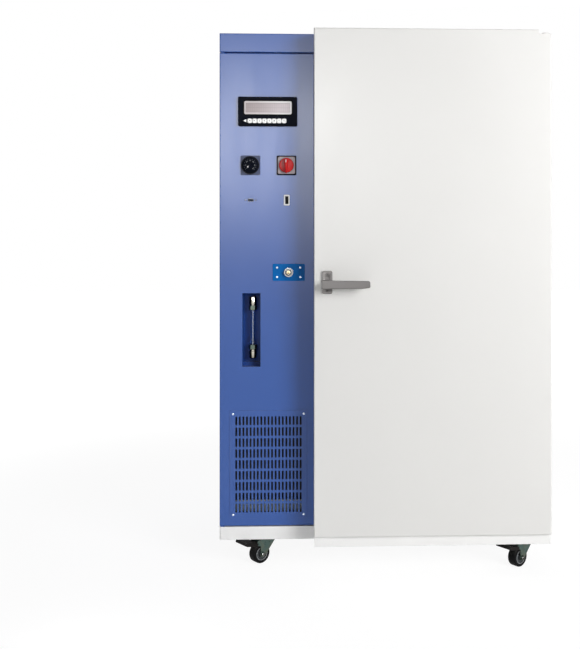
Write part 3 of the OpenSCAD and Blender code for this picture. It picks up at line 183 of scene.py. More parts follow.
def blend(tree, amount, under, over, mode="MIX"):
    node = newNode(tree, "Mix")
    node.data_type = "RGBA"
    node.blend_type = mode
    feed(tree, node.inputs[0], amount)
    feed(tree, node.inputs[6], under)
    feed(tree, node.inputs[7], over)
    return node.outputs[2]


def toned(tree, colour, tone):
    return blend(tree, 1.0, colour, tone, "MULTIPLY")


def bump(tree, height, relief, lift, **normal):
    return newNode(tree, "Bump", Height=height, Distance=relief, Strength=lift, **normal).outputs["Normal"]


aColour = "NodeSocketColor"
aNumber = "NodeSocketFloat"
aVector = "NodeSocketVector"
skinOutputs = {"Colour": aColour, "Roughness": aNumber, "Height": aNumber}


# A node group; four numbers as a first value make a colour input, three a vector and one a number
def newGroup(name, inputs, outputs):
    group = bpy.data.node_groups.new(name, "ShaderNodeTree")
    for label, value in inputs.items():
        kind = {3: aVector, 4: aColour}[len(value)] if isinstance(value, tuple) else aNumber
        socket = group.interface.new_socket(name=label, in_out="INPUT", socket_type=kind)
        socket.default_value = value
    for label, kind in outputs.items():
        group.interface.new_socket(name=label, in_out="OUTPUT", socket_type=kind)
    return group, group.nodes.new("NodeGroupInput").outputs, group.nodes.new("NodeGroupOutput").inputs


def place(tree, group, **values):
    node = newNode(tree, "Group")
    node.node_tree = group
    feedAll(tree, node.inputs, **values)
    return node.outputs


# Powder coat: colour times a slow cloud and a fine fleck; the height is orange peel plus grit
def buildPowderCoat():
    group, given, result = newGroup("powderCoat", {
        "Colour": (0.8, 0.8, 0.8, 1.0), "Roughness": 0.4, "Cloud": 0.05, "Fleck": 0.05}, skinOutputs)
    point = objectPoint(group)
    cloud = less(group, noise(group, point, 3.1, 4.0), 0.5)
    fleck = less(group, noise(group, point, 1100.0, 1.0), 0.5)
    peel = noise(group, point, 330.0, 1.5)
    wipe = less(group, noise(group, stretched(group, point, (9.0, 9.0, 2.5)), 1.0, 5.0), 0.5)
    tone = scaled(group, cloud, given["Cloud"], scaled(group, fleck, given["Fleck"], 1.0))
    feedAll(group, result, Colour=toned(group, given["Colour"], tone),
            Roughness=scaled(group, wipe, 0.16, given["Roughness"]), Height=scaled(group, fleck, 0.35, peel))
    return group


# Edge wear: where the softened normal leaves the true one, broken up by noise; the soft normal comes out too
def buildEdgeWear():
    group, given, result = newGroup("edgeWear", {"Radius": 0.001, "Wear": 0.5},
                                    {"Mask": aNumber, "Normal": aVector})
    bevel = newNode(group, "Bevel", Radius=given["Radius"])
    bevel.samples = 4
    soft = bevel.outputs["Normal"]
    agree = measure(group, "DOT_PRODUCT", soft, newNode(group, "NewGeometry").outputs["True Normal"])
    edge = smooth(group, less(group, 1.0, agree), 0.03, 0.28)
    patch = smooth(group, noise(group, objectPoint(group), 60.0, 3.0), 0.42, 0.62)
    mask = times(group, times(group, edge, patch), given["Wear"], clamp=True)
    feedAll(group, result, Mask=mask, Normal=soft)
    return group


# Dust: faces that look up, times soft noise
def buildDust():
    group, given, result = newGroup("settledDust", {"Amount": 0.3}, {"Mask": aNumber})
    upward = smooth(group, axesOf(group, newNode(group, "NewGeometry").outputs["Normal"])["Z"], 0.25, 0.95)
    drift = smooth(group, noise(group, objectPoint(group), 14.0, 5.0), 0.3, 0.75)
    feedAll(group, result, Mask=times(group, times(group, upward, drift), given["Amount"]))
    return group


# Brushed metal: noise drawn out into lines, which tint the colour, spread the roughness and lift the surface
def buildBrushed():
    group, given, result = newGroup("brushedLines", {
        "Colour": (0.7, 0.7, 0.7, 1.0), "Roughness": 0.35, "Stretch": (1500.0, 1500.0, 12.0), "Depth": 0.12},
        skinOutputs)
    point = objectPoint(group)
    lines = noise(group, stretched(group, point, given["Stretch"]), 1.0, 3.0)
    smear = noise(group, point, 6.0, 4.0)
    spread = less(group, lines, 0.5)
    tone = scaled(group, spread, given["Depth"], 1.0)
    rough = scaled(group, spread, 0.2, scaled(group, smear, 0.14, given["Roughness"]))
    feedAll(group, result, Colour=toned(group, given["Colour"], tone), Roughness=less(group, rough, 0.07),
            Height=lines)
    return group


# Moulded plastic: spark-eroded grain with faint flow clouds
def buildMoulded():
    group, given, result = newGroup("mouldedGrain", {
        "Colour": (0.1, 0.1, 0.1, 1.0), "Roughness": 0.45, "Grain": 900.0}, skinOutputs)
    point = objectPoint(group)
    grain = noise(group, point, given["Grain"], 2.0)
    flow = less(group, noise(group, point, 22.0, 3.0), 0.5)
    tone = scaled(group, flow, 0.14, scaled(group, less(group, grain, 0.5), 0.16, 1.0))
    feedAll(group, result, Colour=toned(group, given["Colour"], tone),
            Roughness=scaled(group, flow, 0.2, given["Roughness"]), Height=grain)
    return group


powderCoat = buildPowderCoat()
edgeWear = buildEdgeWear()
settledDust = buildDust()
brushedLines = buildBrushed()
mouldedGrain = buildMoulded()


# A material with some sockets fixed; its node tree and its shader's inputs are handed on
def startMaterial(name, **fixed):
    materials[name] = bpy.data.materials.new(name)
    materials[name].use_nodes = True
    tree = materials[name].node_tree
    shader = tree.nodes["Principled BSDF"].inputs
    feedAll(tree, shader, **fixed)
    return tree, shader


# Over a skin of colour, roughness and height: worn edges take a second tone, dust settles on top faces, and
# the height lifts the surface; a polished metal may take a painted dark reflection where it faces away from the
# eye
def wearAndDust(tree, shader, spec, skin):
    wear = place(tree, edgeWear, Radius=spec["edge"], Wear=spec["wear"])
    dust = place(tree, settledDust, Amount=spec["dust"])["Mask"]
    colour = blend(tree, wear["Mask"], skin["Colour"], spec["worn"])
    # Painted reflection: the side colour darkens a polished metal towards its outline, as if it mirrored dark
    # surroundings
    if "side" in spec:
        facing = newNode(tree, "LayerWeight").outputs["Facing"]
        paintedRimShade = smooth(tree, facing, spec["sideFrom"], spec["sideTo"])
        colour = blend(tree, paintedRimShade, colour, spec["side"])
    feedAll(tree, shader, Base_Color=blend(tree, dust, colour, spec["dustColour"]),
            Roughness=scaled(tree, dust, spec["dustRough"], skin["Roughness"]),
            Normal=bump(tree, skin["Height"], spec["relief"], spec["lift"], Normal=wear["Normal"]))


def paintedSheet(name, spec):
    tree, shader = startMaterial(name, Specular_IOR_Level=spec["gloss"])
    wearAndDust(tree, shader, spec, place(tree, powderCoat, Colour=spec["colour"], Roughness=spec["rough"],
                                          Cloud=spec["cloud"], Fleck=spec["fleck"]))


def brushedMetal(name, spec):
    tree, shader = startMaterial(name, Metallic=1.0, Anisotropic=spec["anisotropy"])
    wearAndDust(tree, shader, spec, place(tree, brushedLines, Colour=spec["colour"], Roughness=spec["rough"],
                                          Stretch=spec["stretch"], Depth=spec["depth"]))


def mouldedPlastic(name, spec):
    tree, shader = startMaterial(name, Specular_IOR_Level=spec["gloss"])
    wearAndDust(tree, shader, spec, place(tree, mouldedGrain, Colour=spec["colour"], Roughness=spec["rough"],
                                          Grain=spec["grain"]))


# Finishes: each row gives what differs from the usual values of its kind
usualPaint = {
    "rough": 0.38, "gloss": 0.5, "cloud": 0.10, "fleck": 0.10, "edge": 0.0010, "wear": 0.45, "dust": 0.12,
    "dustColour": (0.62, 0.60, 0.56), "dustRough": 0.4, "relief": 0.00009, "lift": 0.5,
}
whiteCoat = {
    "colour": (0.840, 0.833, 0.812), "worn": (0.72, 0.71, 0.69), "rough": 0.36, "cloud": 0.035, "fleck": 0.03,
    "edge": 0.0012, "wear": 0.25, "dust": 0.10, "relief": 0.00006,
}
paints = {
    "white_paint": whiteCoat,
    # Painted light: a paler, glossier copy of the same white coat on the base tray stands in for light on the base
    "base_white": {
        **whiteCoat, "colour": (0.975, 0.972, 0.960), "worn": (0.80, 0.79, 0.77), "gloss": 0.7, "cloud": 0.03,
    },
    "blue_paint": {"colour": (0.030, 0.101, 0.385), "worn": (0.22, 0.27, 0.42), "rough": 0.33},
    "grille_paint": {
        "colour": (0.030, 0.099, 0.375), "worn": (0.20, 0.27, 0.47), "edge": 0.0011, "wear": 0.95,
    },
    "recess_paint": {
        "colour": (0.020, 0.072, 0.300), "worn": (0.16, 0.20, 0.32), "rough": 0.42, "gloss": 0.15,
        "cloud": 0.12, "edge": 0.0008, "wear": 0.35, "dust": 0.30,
    },
    "bright_blue_paint": {
        "colour": (0.002, 0.150, 0.50), "worn": (0.22, 0.40, 0.62), "rough": 0.24, "gloss": 0.08,
        "cloud": 0.12, "fleck": 0.16, "edge": 0.0006, "wear": 0.55, "dust": 0.06, "relief": 0.00007,
    },
    "black_enamel": {
        "colour": (0.018, 0.018, 0.020), "worn": (0.12, 0.11, 0.10), "rough": 0.34, "cloud": 0.25,
        "fleck": 0.2, "dust": 0.35, "relief": 0.00012,
    },
}
usualMetal = {
    "rough": 0.34, "stretch": (90.0, 90.0, 90.0), "depth": 0.10, "edge": 0.0005, "wear": 0.3, "dust": 0.05,
    "dustColour": (0.42, 0.40, 0.37), "dustRough": 0.35, "relief": 0.00004, "lift": 0.35, "anisotropy": 0.0,
    "sideFrom": 0.03, "sideTo": 0.30,
}
metals = {
    "stainless": {
        "colour": (0.60, 0.60, 0.59), "worn": (0.78, 0.78, 0.77), "rough": 0.30,
        "stretch": (1400.0, 1400.0, 9.0), "edge": 0.0008, "wear": 0.5, "relief": 0.00003, "anisotropy": 0.35,
    },
    "bare_steel": {
        "colour": (0.56, 0.56, 0.55), "worn": (0.76, 0.76, 0.75), "stretch": (900.0, 60.0, 900.0),
        "depth": 0.16, "edge": 0.0006, "wear": 0.6, "dust": 0.12,
    },
    "satin_metal": {
        "colour": (0.118, 0.113, 0.111), "worn": (0.26, 0.255, 0.25), "rough": 0.42,
        "stretch": (30.0, 900.0, 1300.0), "depth": 0.22, "edge": 0.0010, "wear": 0.6, "dust": 0.04,
        "relief": 0.00005,
    },
    "copper": {
        "colour": (0.62, 0.30, 0.17), "worn": (0.80, 0.45, 0.28), "stretch": (240.0, 240.0, 240.0),
        "depth": 0.35, "edge": 0.0008, "wear": 0.4, "dust": 0.25,
    },
    "bush_metal": {
        "colour": (0.55, 0.44, 0.26), "worn": (0.72, 0.62, 0.42), "rough": 0.38,
        "stretch": (500.0, 500.0, 2600.0), "depth": 0.2, "edge": 0.0006, "wear": 0.4,
    },
    "dull_chrome": {
        "colour": (0.075, 0.076, 0.080), "worn": (0.22, 0.22, 0.225), "rough": 0.22, "depth": 0.12,
        "dust": 0.03, "relief": 0.00001,
    },
    "bright_zinc": {
        "colour": (0.72, 0.77, 0.84), "worn": (0.88, 0.90, 0.93), "rough": 0.30,
        "stretch": (300.0, 300.0, 300.0), "depth": 0.12, "edge": 0.0004, "dust": 0.03, "relief": 0.00001,
    },
    # The side colours of chrome and nickel are painted dark reflections at the outline
    "chrome": {
        "colour": (0.42, 0.42, 0.42), "worn": (0.66, 0.66, 0.66), "rough": 0.16, "dust": 0.03,
        "relief": 0.00001, "side": (0.045, 0.042, 0.038),
    },
    # Gauge ends: bright nickel that turns dark just off the middle, a painted highlight down the middle with
    # painted dark sides
    "dark_nickel": {
        "colour": (0.60, 0.57, 0.50), "worn": (0.70, 0.66, 0.56), "rough": 0.14,
        "stretch": (60.0, 60.0, 700.0), "depth": 0.30, "edge": 0.0004, "wear": 0.2, "relief": 0.00002,
        "side": (0.012, 0.011, 0.009), "sideFrom": 0.0, "sideTo": 0.13,
    },
}
usualPlastic = {
    "rough": 0.42, "gloss": 0.5, "grain": 1300.0, "edge": 0.0008, "wear": 0.3, "dust": 0.02,
    "dustColour": (0.45, 0.44, 0.42), "dustRough": 0.0, "relief": 0.00002, "lift": 0.4,
}
plastics = {
    "black_plastic": {
        "colour": (0.0045, 0.0060, 0.0120), "worn": (0.026, 0.030, 0.044), "rough": 0.46, "gloss": 0.02,
        "grain": 1500.0, "wear": 0.4, "dust": 0.04, "relief": 0.00006,
    },
    "pedal_black": {
        "colour": (0.0100, 0.0085, 0.0080), "worn": (0.075, 0.068, 0.064), "rough": 0.50, "gloss": 0.10,
        "grain": 500.0, "edge": 0.0012, "wear": 0.7, "dust": 0.10, "relief": 0.00012,
    },
    "grey_plastic": {
        "colour": (0.40, 0.43, 0.47), "worn": (0.52, 0.53, 0.54), "rough": 0.40, "grain": 1200.0,
        "wear": 0.35, "dust": 0.10, "relief": 0.00005,
    },
    "white_plastic": {
        "colour": (0.96, 0.955, 0.94), "worn": (0.98, 0.975, 0.96), "rough": 0.30, "grain": 1500.0,
        "edge": 0.0005, "wear": 0.2, "dust": 0.01,
    },
    "red_plastic": {
        "colour": (0.64, 0.018, 0.018), "worn": (0.92, 0.24, 0.18), "rough": 0.30, "gloss": 0.10,
        "edge": 0.0007, "wear": 0.4, "dust": 0.01,
    },
    "tank_plastic": {
        "colour": (0.62, 0.64, 0.66), "worn": (0.78, 0.79, 0.80), "rough": 0.48, "grain": 500.0,
        "edge": 0.0020, "dust": 0.30, "relief": 0.00010,
    },
    "panel_board": {
        "colour": (0.70, 0.69, 0.66), "worn": (0.82, 0.81, 0.78), "rough": 0.50, "grain": 800.0, "dust": 0.20,
        "relief": 0.00004,
    },
    "gasket_rubber": {
        "colour": (0.52, 0.52, 0.52), "worn": (0.60, 0.60, 0.60), "rough": 0.62, "grain": 700.0,
        "edge": 0.0010, "wear": 0.15, "dust": 0.15, "relief": 0.00006,
    },
    "dark_rubber": {
        "colour": (0.0050, 0.0050, 0.0055), "worn": (0.035, 0.033, 0.031), "rough": 0.62, "gloss": 0.07,
        "grain": 420.0, "edge": 0.0012, "wear": 0.4, "dust": 0.14, "relief": 0.00015,
    },
    "gloss_black": {
        "colour": (0.0010, 0.0010, 0.0014), "worn": (0.008, 0.008, 0.010), "rough": 0.30, "gloss": 0.02,
        "grain": 900.0, "edge": 0.0006, "wear": 0.2, "dust": 0.01, "relief": 0.00001,
    },
    # Near black for slots shown as marks rather than cut: painted shade
    "deep_black": {
        "colour": (0.004, 0.004, 0.004), "worn": (0.02, 0.02, 0.02), "rough": 0.70, "gloss": 0.1,
        "grain": 900.0, "edge": 0.0004, "wear": 0.1,
    },
    "print_grey": {
        "colour": (0.27, 0.27, 0.28), "worn": (0.20, 0.20, 0.21), "rough": 0.50, "gloss": 0.3,
        "grain": 1500.0, "edge": 0.0002, "wear": 0.1, "relief": 0.00001,
    },
    "pale_face": {
        "colour": (0.50, 0.43, 0.45), "worn": (0.66, 0.60, 0.62), "rough": 0.40, "gloss": 0.2, "edge": 0.0005,
        "dust": 0.03,
    },
    "pale_blue": {
        "colour": (0.46, 0.56, 0.74), "worn": (0.60, 0.68, 0.82), "rough": 0.36, "gloss": 0.3, "edge": 0.0002,
        "wear": 0.1, "relief": 0.00001,
    },
    "hub_grey": {
        "colour": (0.060, 0.066, 0.072), "worn": (0.22, 0.23, 0.24), "gloss": 0.2, "grain": 800.0,
        "wear": 0.6, "dust": 0.10, "relief": 0.00006,
    },
    "ring_grey": {
        "colour": (0.34, 0.35, 0.36), "worn": (0.55, 0.56, 0.57), "rough": 0.36, "gloss": 0.4, "grain": 800.0,
        "wear": 0.5, "dust": 0.10, "relief": 0.00003,
    },
}
for build, usual, family in ((paintedSheet, usualPaint, paints), (brushedMetal, usualMetal, metals),
                             (mouldedPlastic, usualPlastic, plastics)):
    for slotName, spec in family.items():
        build(slotName, {**usual, **spec})

zincFinish = {
    "colour": (0.075, 0.118, 0.108), "warm": (0.105, 0.125, 0.098), "dull": (0.030, 0.046, 0.043),
    "rough": 0.34, "worn": (0.30, 0.36, 0.34), "edge": 0.0009, "wear": 0.7, "dust": 0.35,
    "dustColour": (0.14, 0.14, 0.13), "dustRough": 0.0, "relief": 0.00004, "lift": 0.5,
}


# Zinc plating: two passivation tints drifting over each other, dull blotches, bright worn edges
def buildZinc(spec):
    tree, shader = startMaterial("zinc_plate", Metallic=1.0)
    point = objectPoint(tree)
    tint = smooth(tree, noise(tree, point, 34.0, 4.0), 0.35, 0.68)
    blotch = smooth(tree, noise(tree, point, 90.0, 5.0), 0.55, 0.75)
    colour = blend(tree, blotch, blend(tree, tint, spec["colour"], spec["warm"]), spec["dull"])
    skin = {"Colour": colour, "Roughness": scaled(tree, blotch, 0.25, spec["rough"]),
            "Height": noise(tree, point, 700.0, 2.0)}
    wearAndDust(tree, shader, spec, skin)


foamFinish = {"pale": (0.80, 0.72, 0.48), "dark": (0.62, 0.50, 0.26), "cell": 520.0}


# Cut rigid foam: open cells as a Voronoi field, darker skin patches
def buildFoam(spec):
    tree, shader = startMaterial("foam", Roughness=0.92, Specular_IOR_Level=0.25)
    point = objectPoint(tree)
    skin = smooth(tree, noise(tree, point, 9.0, 4.0), 0.4, 0.7)
    cells = newNode(tree, "TexVoronoi", Vector=point, Scale=spec["cell"]).outputs["Distance"]
    cell = smooth(tree, cells, 0.1, 0.7)
    colour = blend(tree, skin, spec["pale"], spec["dark"])
    feedAll(tree, shader, Base_Color=blend(tree, times(tree, cell, 0.4), colour, spec["dark"]),
            Normal=bump(tree, cell, 0.0006, 0.6))


coilFinish = {
    "fin": (0.66, 0.67, 0.68), "shade": (0.30, 0.31, 0.33), "dirt": (0.34, 0.32, 0.29),
    "waves": 4200.0,  # radians per metre
}


# Finned coil: thin upright bands of fin edge and gap across X
def buildCoil(spec):
    tree, shader = startMaterial("coil_metal", Metallic=1.0)
    point = objectPoint(tree)
    band = smooth(tree, calc(tree, "SINE", times(tree, axesOf(tree, point)["X"], spec["waves"])), -0.3, 0.7)
    dirt = smooth(tree, noise(tree, point, 40.0, 5.0), 0.45, 0.8, 0.0, 0.5)
    colour = blend(tree, band, spec["shade"], spec["fin"])
    feedAll(tree, shader, Base_Color=blend(tree, dirt, colour, spec["dirt"]),
            Roughness=scaled(tree, dirt, 0.4, 0.32), Normal=bump(tree, band, 0.0004, 0.6))


screen = {
    "centre": (-0.379, 1.505), "halfWidth": 0.0774, "active": (0.0715, 0.0150), "lineHalf": 0.0009,
    "border": (0.72, 0.66, 0.66), "rightBorder": (0.95, 0.93, 0.93), "panel": (0.47, 0.40, 0.40),
    "bright": (0.72, 0.65, 0.67), "cell": (0.0072, 0.0146), "glow": 0.09, "line": (0.20, 0.17, 0.18),
}


# Blank display: pale border and a pinkish panel, both paler to the right as a painted highlight, a faint grid of
# character cells, and a faint painted glow
def buildScreen(spec):
    # Painted glow: the face gives off a little light in its own colour
    tree, shader = startMaterial("screen_glass", Roughness=0.30, Specular_IOR_Level=0.08,
                                 Emission_Strength=spec["glow"])
    point = objectPoint(tree)
    at = axesOf(tree, point)
    inside = window(tree, at, spec["centre"], spec["active"], spec["lineHalf"])
    acrossX = less(tree, at["X"], spec["centre"][0])
    upZ = less(tree, at["Z"], spec["centre"][1])
    columns, rows = (calc(tree, "ABSOLUTE", calc(tree, "SINE", times(tree, way, math.pi / cell)))
                     for way, cell in zip((acrossX, upZ), spec["cell"]))
    grid = smooth(tree, calc(tree, "MINIMUM", columns, rows), 0.10, 0.34, 0.88, 1.0)
    # Painted highlight: the panel and the border grow paler towards the right
    pale = smooth(tree, acrossX, -spec["halfWidth"], spec["halfWidth"])
    panel = toned(tree, blend(tree, pale, spec["panel"], spec["bright"]), grid)
    face = blend(tree, inside, blend(tree, pale, spec["border"], spec["rightBorder"]), panel)
    line = times(tree, times(tree, inside, less(tree, 1.0, inside)), 4.0, clamp=True)
    face = blend(tree, times(tree, line, 0.55), face, spec["line"])
    face = toned(tree, face, scaled(tree, noise(tree, point, 60.0, 4.0), 0.06, 0.97))
    feedAll(tree, shader, Base_Color=face, Emission_Color=face)


# Gauge glass: clear, with a faint haze of lime on its roughness
def buildGlass():
    tree, shader = startMaterial("gauge_glass", Transmission_Weight=1.0, IOR=1.47, Metallic=0.0,
                                 Specular_IOR_Level=0.25)
    point = objectPoint(tree)
    haze = noise(tree, stretched(tree, point, (60.0, 60.0, 14.0)), 1.0, 4.0)
    tint = smooth(tree, noise(tree, point, 30.0, 3.0), 0.3, 0.8)
    feedAll(tree, shader, Roughness=smooth(tree, haze, 0.5, 0.85, 0.01, 0.06),
            Base_Color=blend(tree, tint, (0.99, 1.0, 1.0), (0.94, 0.97, 1.0)))


ports = {
    "socket": (-0.318, 1.203), "mouthHalf": (0.0052, 0.0129), "card": (-0.436, 1.203), "frameFront": -0.3166,
    "white": (0.96, 0.96, 0.95), "inside": (0.002, 0.002, 0.003), "slotLip": (0.17, 0.21, 0.33),
    "screw": (0.28, 0.31, 0.40), "slotHalf": (0.0085, 0.0024),
}


# Sockets: white on the socket's raised frame and near black inside it as painted shade; painted shade near black
# in the card slot, grey on its lip and on its screws
def buildPorts(spec):
    tree, shader = startMaterial("port_faces", Specular_IOR_Level=0.05, Roughness=0.38)
    point = objectPoint(tree)
    at = axesOf(tree, point)
    # Painted shade: the socket's mouth and all behind the frame's front turn near black
    behind = smooth(tree, at["Y"], spec["frameFront"] - 0.0001, spec["frameFront"] + 0.0002)
    hidden = calc(tree, "MAXIMUM", window(tree, at, spec["socket"], spec["mouthHalf"]), behind)
    white = toned(tree, spec["white"], scaled(tree, noise(tree, point, 800.0, 2.0), 0.10, 0.95))
    frameColour = blend(tree, hidden, white, spec["inside"])
    lip = within(tree, at["Z"], spec["card"][1] - spec["slotHalf"][1] - 0.0006, 0.0007)
    cardColour = blend(tree, lip, spec["screw"], spec["slotLip"])
    # Painted shade: the card slot's opening turns near black
    cardColour = blend(tree, window(tree, at, spec["card"], spec["slotHalf"]), cardColour, spec["inside"])
    atCard = smooth(tree, at["X"], spec["card"][0] + 0.04, spec["card"][0] + 0.05, 1.0, 0.0)
    feedAll(tree, shader, Base_Color=blend(tree, atCard, frameColour, cardColour),
            Normal=bump(tree, noise(tree, point, 900.0, 2.0), 0.00003, 0.4))


condenserFinish = {
    "fin": (0.050, 0.052, 0.054), "gap": (0.012, 0.012, 0.013), "pitch": 0.0021, "flangeTop": 0.2100,
    "flange": (0.36, 0.40, 0.37), "flangeDull": (0.25, 0.28, 0.26), "dust": 0.4,
    "dustColour": (0.34, 0.32, 0.29),
}


# Condenser: black fins as upright bands across X, with painted shade in the darker gaps between them, and a bare
# galvanised flange under them
def buildCondenser(spec):
    tree, shader = startMaterial("condenser_block", Specular_IOR_Level=0.3)
    point = objectPoint(tree)
    at = axesOf(tree, point)
    # Painted shade: the gaps between fins take a darker colour than the fin edges
    wave = calc(tree, "SINE", times(tree, at["X"], 2 * math.pi / spec["pitch"]))
    band = smooth(tree, wave, -0.2, 0.8)
    spangle = smooth(tree, noise(tree, point, 130.0, 4.0), 0.4, 0.62)
    low = smooth(tree, at["Z"], spec["flangeTop"] - 0.0004, spec["flangeTop"] + 0.0004, 1.0, 0.0)
    dust = place(tree, settledDust, Amount=spec["dust"])["Mask"]
    flange = blend(tree, spangle, spec["flangeDull"], spec["flange"])
    colour = blend(tree, low, blend(tree, band, spec["gap"], spec["fin"]), flange)
    feedAll(tree, shader, Base_Color=blend(tree, dust, colour, spec["dustColour"]),
            Metallic=times(tree, low, 0.35), Roughness=scaled(tree, spangle, 0.12, 0.42),
            Normal=bump(tree, times(tree, band, less(tree, 1.0, low)), 0.0004, 0.5))


dialFace = {
    "centre": pivot["limiter_dial_turn"], "plate": (0.085, 0.105, 0.190), "ring": (0.0040, 0.0042, 0.0060),
    "ringRadius": 0.0297, "rough": 0.38, "grain": 1300.0,
}


# Dial plate: blue-grey corners, and black inside the ring by distance from the dial's centre
def buildDialFace(spec):
    tree, shader = startMaterial("dial_face", Specular_IOR_Level=0.08)
    at = axesOf(tree, objectPoint(tree))
    acrossX = less(tree, at["X"], float(spec["centre"][0]))
    upZ = less(tree, at["Z"], float(spec["centre"][2]))
    away = calc(tree, "SQRT", calc(tree, "ADD", times(tree, acrossX, acrossX), times(tree, upZ, upZ)))
    inside = smooth(tree, away, spec["ringRadius"] - 0.0002, spec["ringRadius"] + 0.0002, 1.0, 0.0)
    skin = place(tree, mouldedGrain, Colour=spec["plate"], Roughness=spec["rough"], Grain=spec["grain"])
    feedAll(tree, shader, Base_Color=blend(tree, inside, skin["Colour"], spec["ring"]),
            Roughness=skin["Roughness"], Normal=bump(tree, skin["Height"], 0.00003, 0.4))


buildDialFace(dialFace)
buildPorts(ports)
buildCondenser(condenserFinish)
buildZinc(zincFinish)
buildFoam(foamFinish)
buildCoil(coilFinish)
buildScreen(screen)
buildGlass()

ownFinish = {
    "data_ports": "port_faces", "condenser": "condenser_block", "dial_plate": "dial_face",
    "base_tray": "base_white", "grille_panel": "grille_paint", "pedal_front_left": "pedal_black",
    "pedal_front_right": "pedal_black", "door_hinges": "white_paint", "panel_hinges": "blue_paint",
    "panel_screws": "bright_zinc",
}
for name, node in nodes.items():
    node.data.materials.clear()
    node.data.materials.append(materials[ownFinish.get(name, slotOfNode[name])])
print("materials on", len(nodes), "frame nodes")


# Grids of points become quads; a wrapped direction joins its last line to its first
def gridFaces(rows, columns, wrapRows, wrapColumns):
    row = np.arange(rows if wrapRows else rows - 1)
    column = np.arange(columns if wrapColumns else columns - 1)
    i, j = np.meshgrid(row, column, indexing="ij")
    nextI = (i + 1) % rows
    nextJ = (j + 1) % columns
    quad = [i * columns + j, i * columns + nextJ, nextI * columns + nextJ, nextI * columns + j]
    return np.stack(quad, axis=-1).reshape(-1, 4)


# Several surfaces in one mesh, each a grid of points with its two wraps
def meshFromSurfaces(name, surfaces):
    points = []
    faces = []
    start = 0
    for grid, wrapRows, wrapColumns in surfaces:
        points.append(grid.reshape(-1, 3))
        faces.append(gridFaces(grid.shape[0], grid.shape[1], wrapRows, wrapColumns) + start)
        start += grid.shape[0] * grid.shape[1]
    mesh = bpy.data.meshes.new(name)
    mesh.from_pydata(np.concatenate(points).tolist(), [], np.concatenate(faces).tolist())
    return mesh


# Smooth shading that keeps the edges over the sharp angle, and one material
def newPiece(name, mesh, materialName, sharp):
    mesh.polygons.foreach_set("use_smooth", np.ones(len(mesh.polygons), dtype=bool))
    mesh.set_sharp_from_angle(angle=math.radians(sharp))
    mesh.materials.clear()
    mesh.materials.append(materials[materialName])
    piece = bpy.data.objects.new(name, mesh)
    link(piece)
    return piece


# Surfaces or a mesh with doubles merged and normals turned outwards, as a piece that rides on its body
def finishPiece(name, shape, slotName, body, replaced=(), sharp=38.0, material=None):
    mesh = meshFromSurfaces(name, shape) if isinstance(shape, list) else shape
    work = bmesh.new()
    work.from_mesh(mesh)
    bmesh.ops.remove_doubles(work, verts=work.verts, dist=0.000002)
    bmesh.ops.dissolve_degenerate(work, edges=work.edges, dist=0.000001)
    bmesh.ops.recalc_face_normals(work, faces=work.faces)
    work.to_mesh(mesh)
    work.free()
    piece = newPiece(name, mesh, material or slotName, sharp)
    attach(piece, body)
    if replaced:
        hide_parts(*replaced)


# Rounded rectangle shrunk by an inset: corner centre plus bend times (cosine, sine), where bend is radius
# less inset
def loopPoints(size, radius, inset, corner):
    bend = max(radius - inset, 0.0)
    reach = np.array([size[0] / 2 - inset - bend, size[1] / 2 - inset - bend])
    turn = (np.arange(4)[:, None] * np.pi / 2 + np.linspace(0, np.pi / 2, corner)).ravel()
    sign = np.array([[1, 1], [-1, 1], [-1, -1], [1, -1]]).repeat(corner, axis=0)
    return sign * reach + bend * np.stack([np.cos(turn), np.sin(turn)], axis=-1)


# A profile of (inset, depth) carried round a rounded rectangle in X and Z; the depth is the place along Y
def framed(centre, size, radius, profile, wrap=False, corner=7):
    loops = np.stack([loopPoints(size, radius, inset, corner) for inset, depth in profile])
    grid = np.empty(loops.shape[:2] + (3,))
    grid[..., 0] = centre[0] + loops[..., 0]
    grid[..., 1] = np.array([depth for inset, depth in profile])[:, None]
    grid[..., 2] = centre[1] + loops[..., 1]
    return grid, wrap, True


# Slab with a rounded front edge: inset = edge * (1 - cos a) and depth = front + edge * (1 - sin a), with a
# from 0 to 90 degrees
def slab(centre, size, radius, front, back, edge):
    half = min(size) / 2
    angle = np.linspace(0, np.pi / 2, 4)
    rim = zip(edge * (1 - np.cos(angle)), front + edge * (1 - np.sin(angle)))
    return framed(centre, size, radius, [(half, back), (0.0, back), *rim, (half, front)])


forward = (0, -1, 0)  # out of the front


# Turning: centre + along * axis + radius * (cos a * side + sin a * up); ribs add depth * cos(number * a) to
# the radius on marked rows
def turned(centre, axis, profile, count, ribs=(0, 0.0), wrap=False):
    axis = np.array(axis, dtype=float) / np.linalg.norm(axis)
    side = np.cross(axis, (0.0, 0.0, 1.0)) if abs(axis[2]) < 0.9 else np.array((1.0, 0.0, 0.0))
    side = side / np.linalg.norm(side)
    up = np.cross(axis, side)
    angle = np.arange(count) * 2 * np.pi / count
    ring = np.cos(angle)[:, None] * side + np.sin(angle)[:, None] * up
    rows = np.array([(tuple(row) + (0.0,))[:3] for row in profile])
    radius = rows[:, 0][:, None] + rows[:, 2][:, None] * ribs[1] * np.cos(ribs[0] * angle)
    grid = np.array(centre) + rows[:, 1][:, None, None] * axis + radius[..., None] * ring
    return grid, wrap, True


# Outlines in X and Z: an upright bar with a lower and an upper end, and a round spot
def barOutline(half, low, high):
    return np.array([(-half, low), (half, low), (half, high), (-half, high)])


def spotOutline(radius):
    angle = np.arange(12) * np.pi / 6
    return radius * np.stack([np.cos(angle), np.sin(angle)], axis=-1)


# Flat convex outline in X and Z raised along Y: two rings of the outline and a middle point at each end
def raised(outline, front, back):
    flat = np.array(outline)
    middle = np.repeat(flat.mean(axis=0)[None], len(flat), axis=0)
    grid = np.empty((4, len(flat), 3))
    for row, (points, depth) in enumerate(((middle, back), (flat, back), (flat, front), (middle, front))):
        grid[row, :, 0] = points[:, 0]
        grid[row, :, 1] = depth
        grid[row, :, 2] = points[:, 1]
    return grid, False, True


letterRise = 0.0001


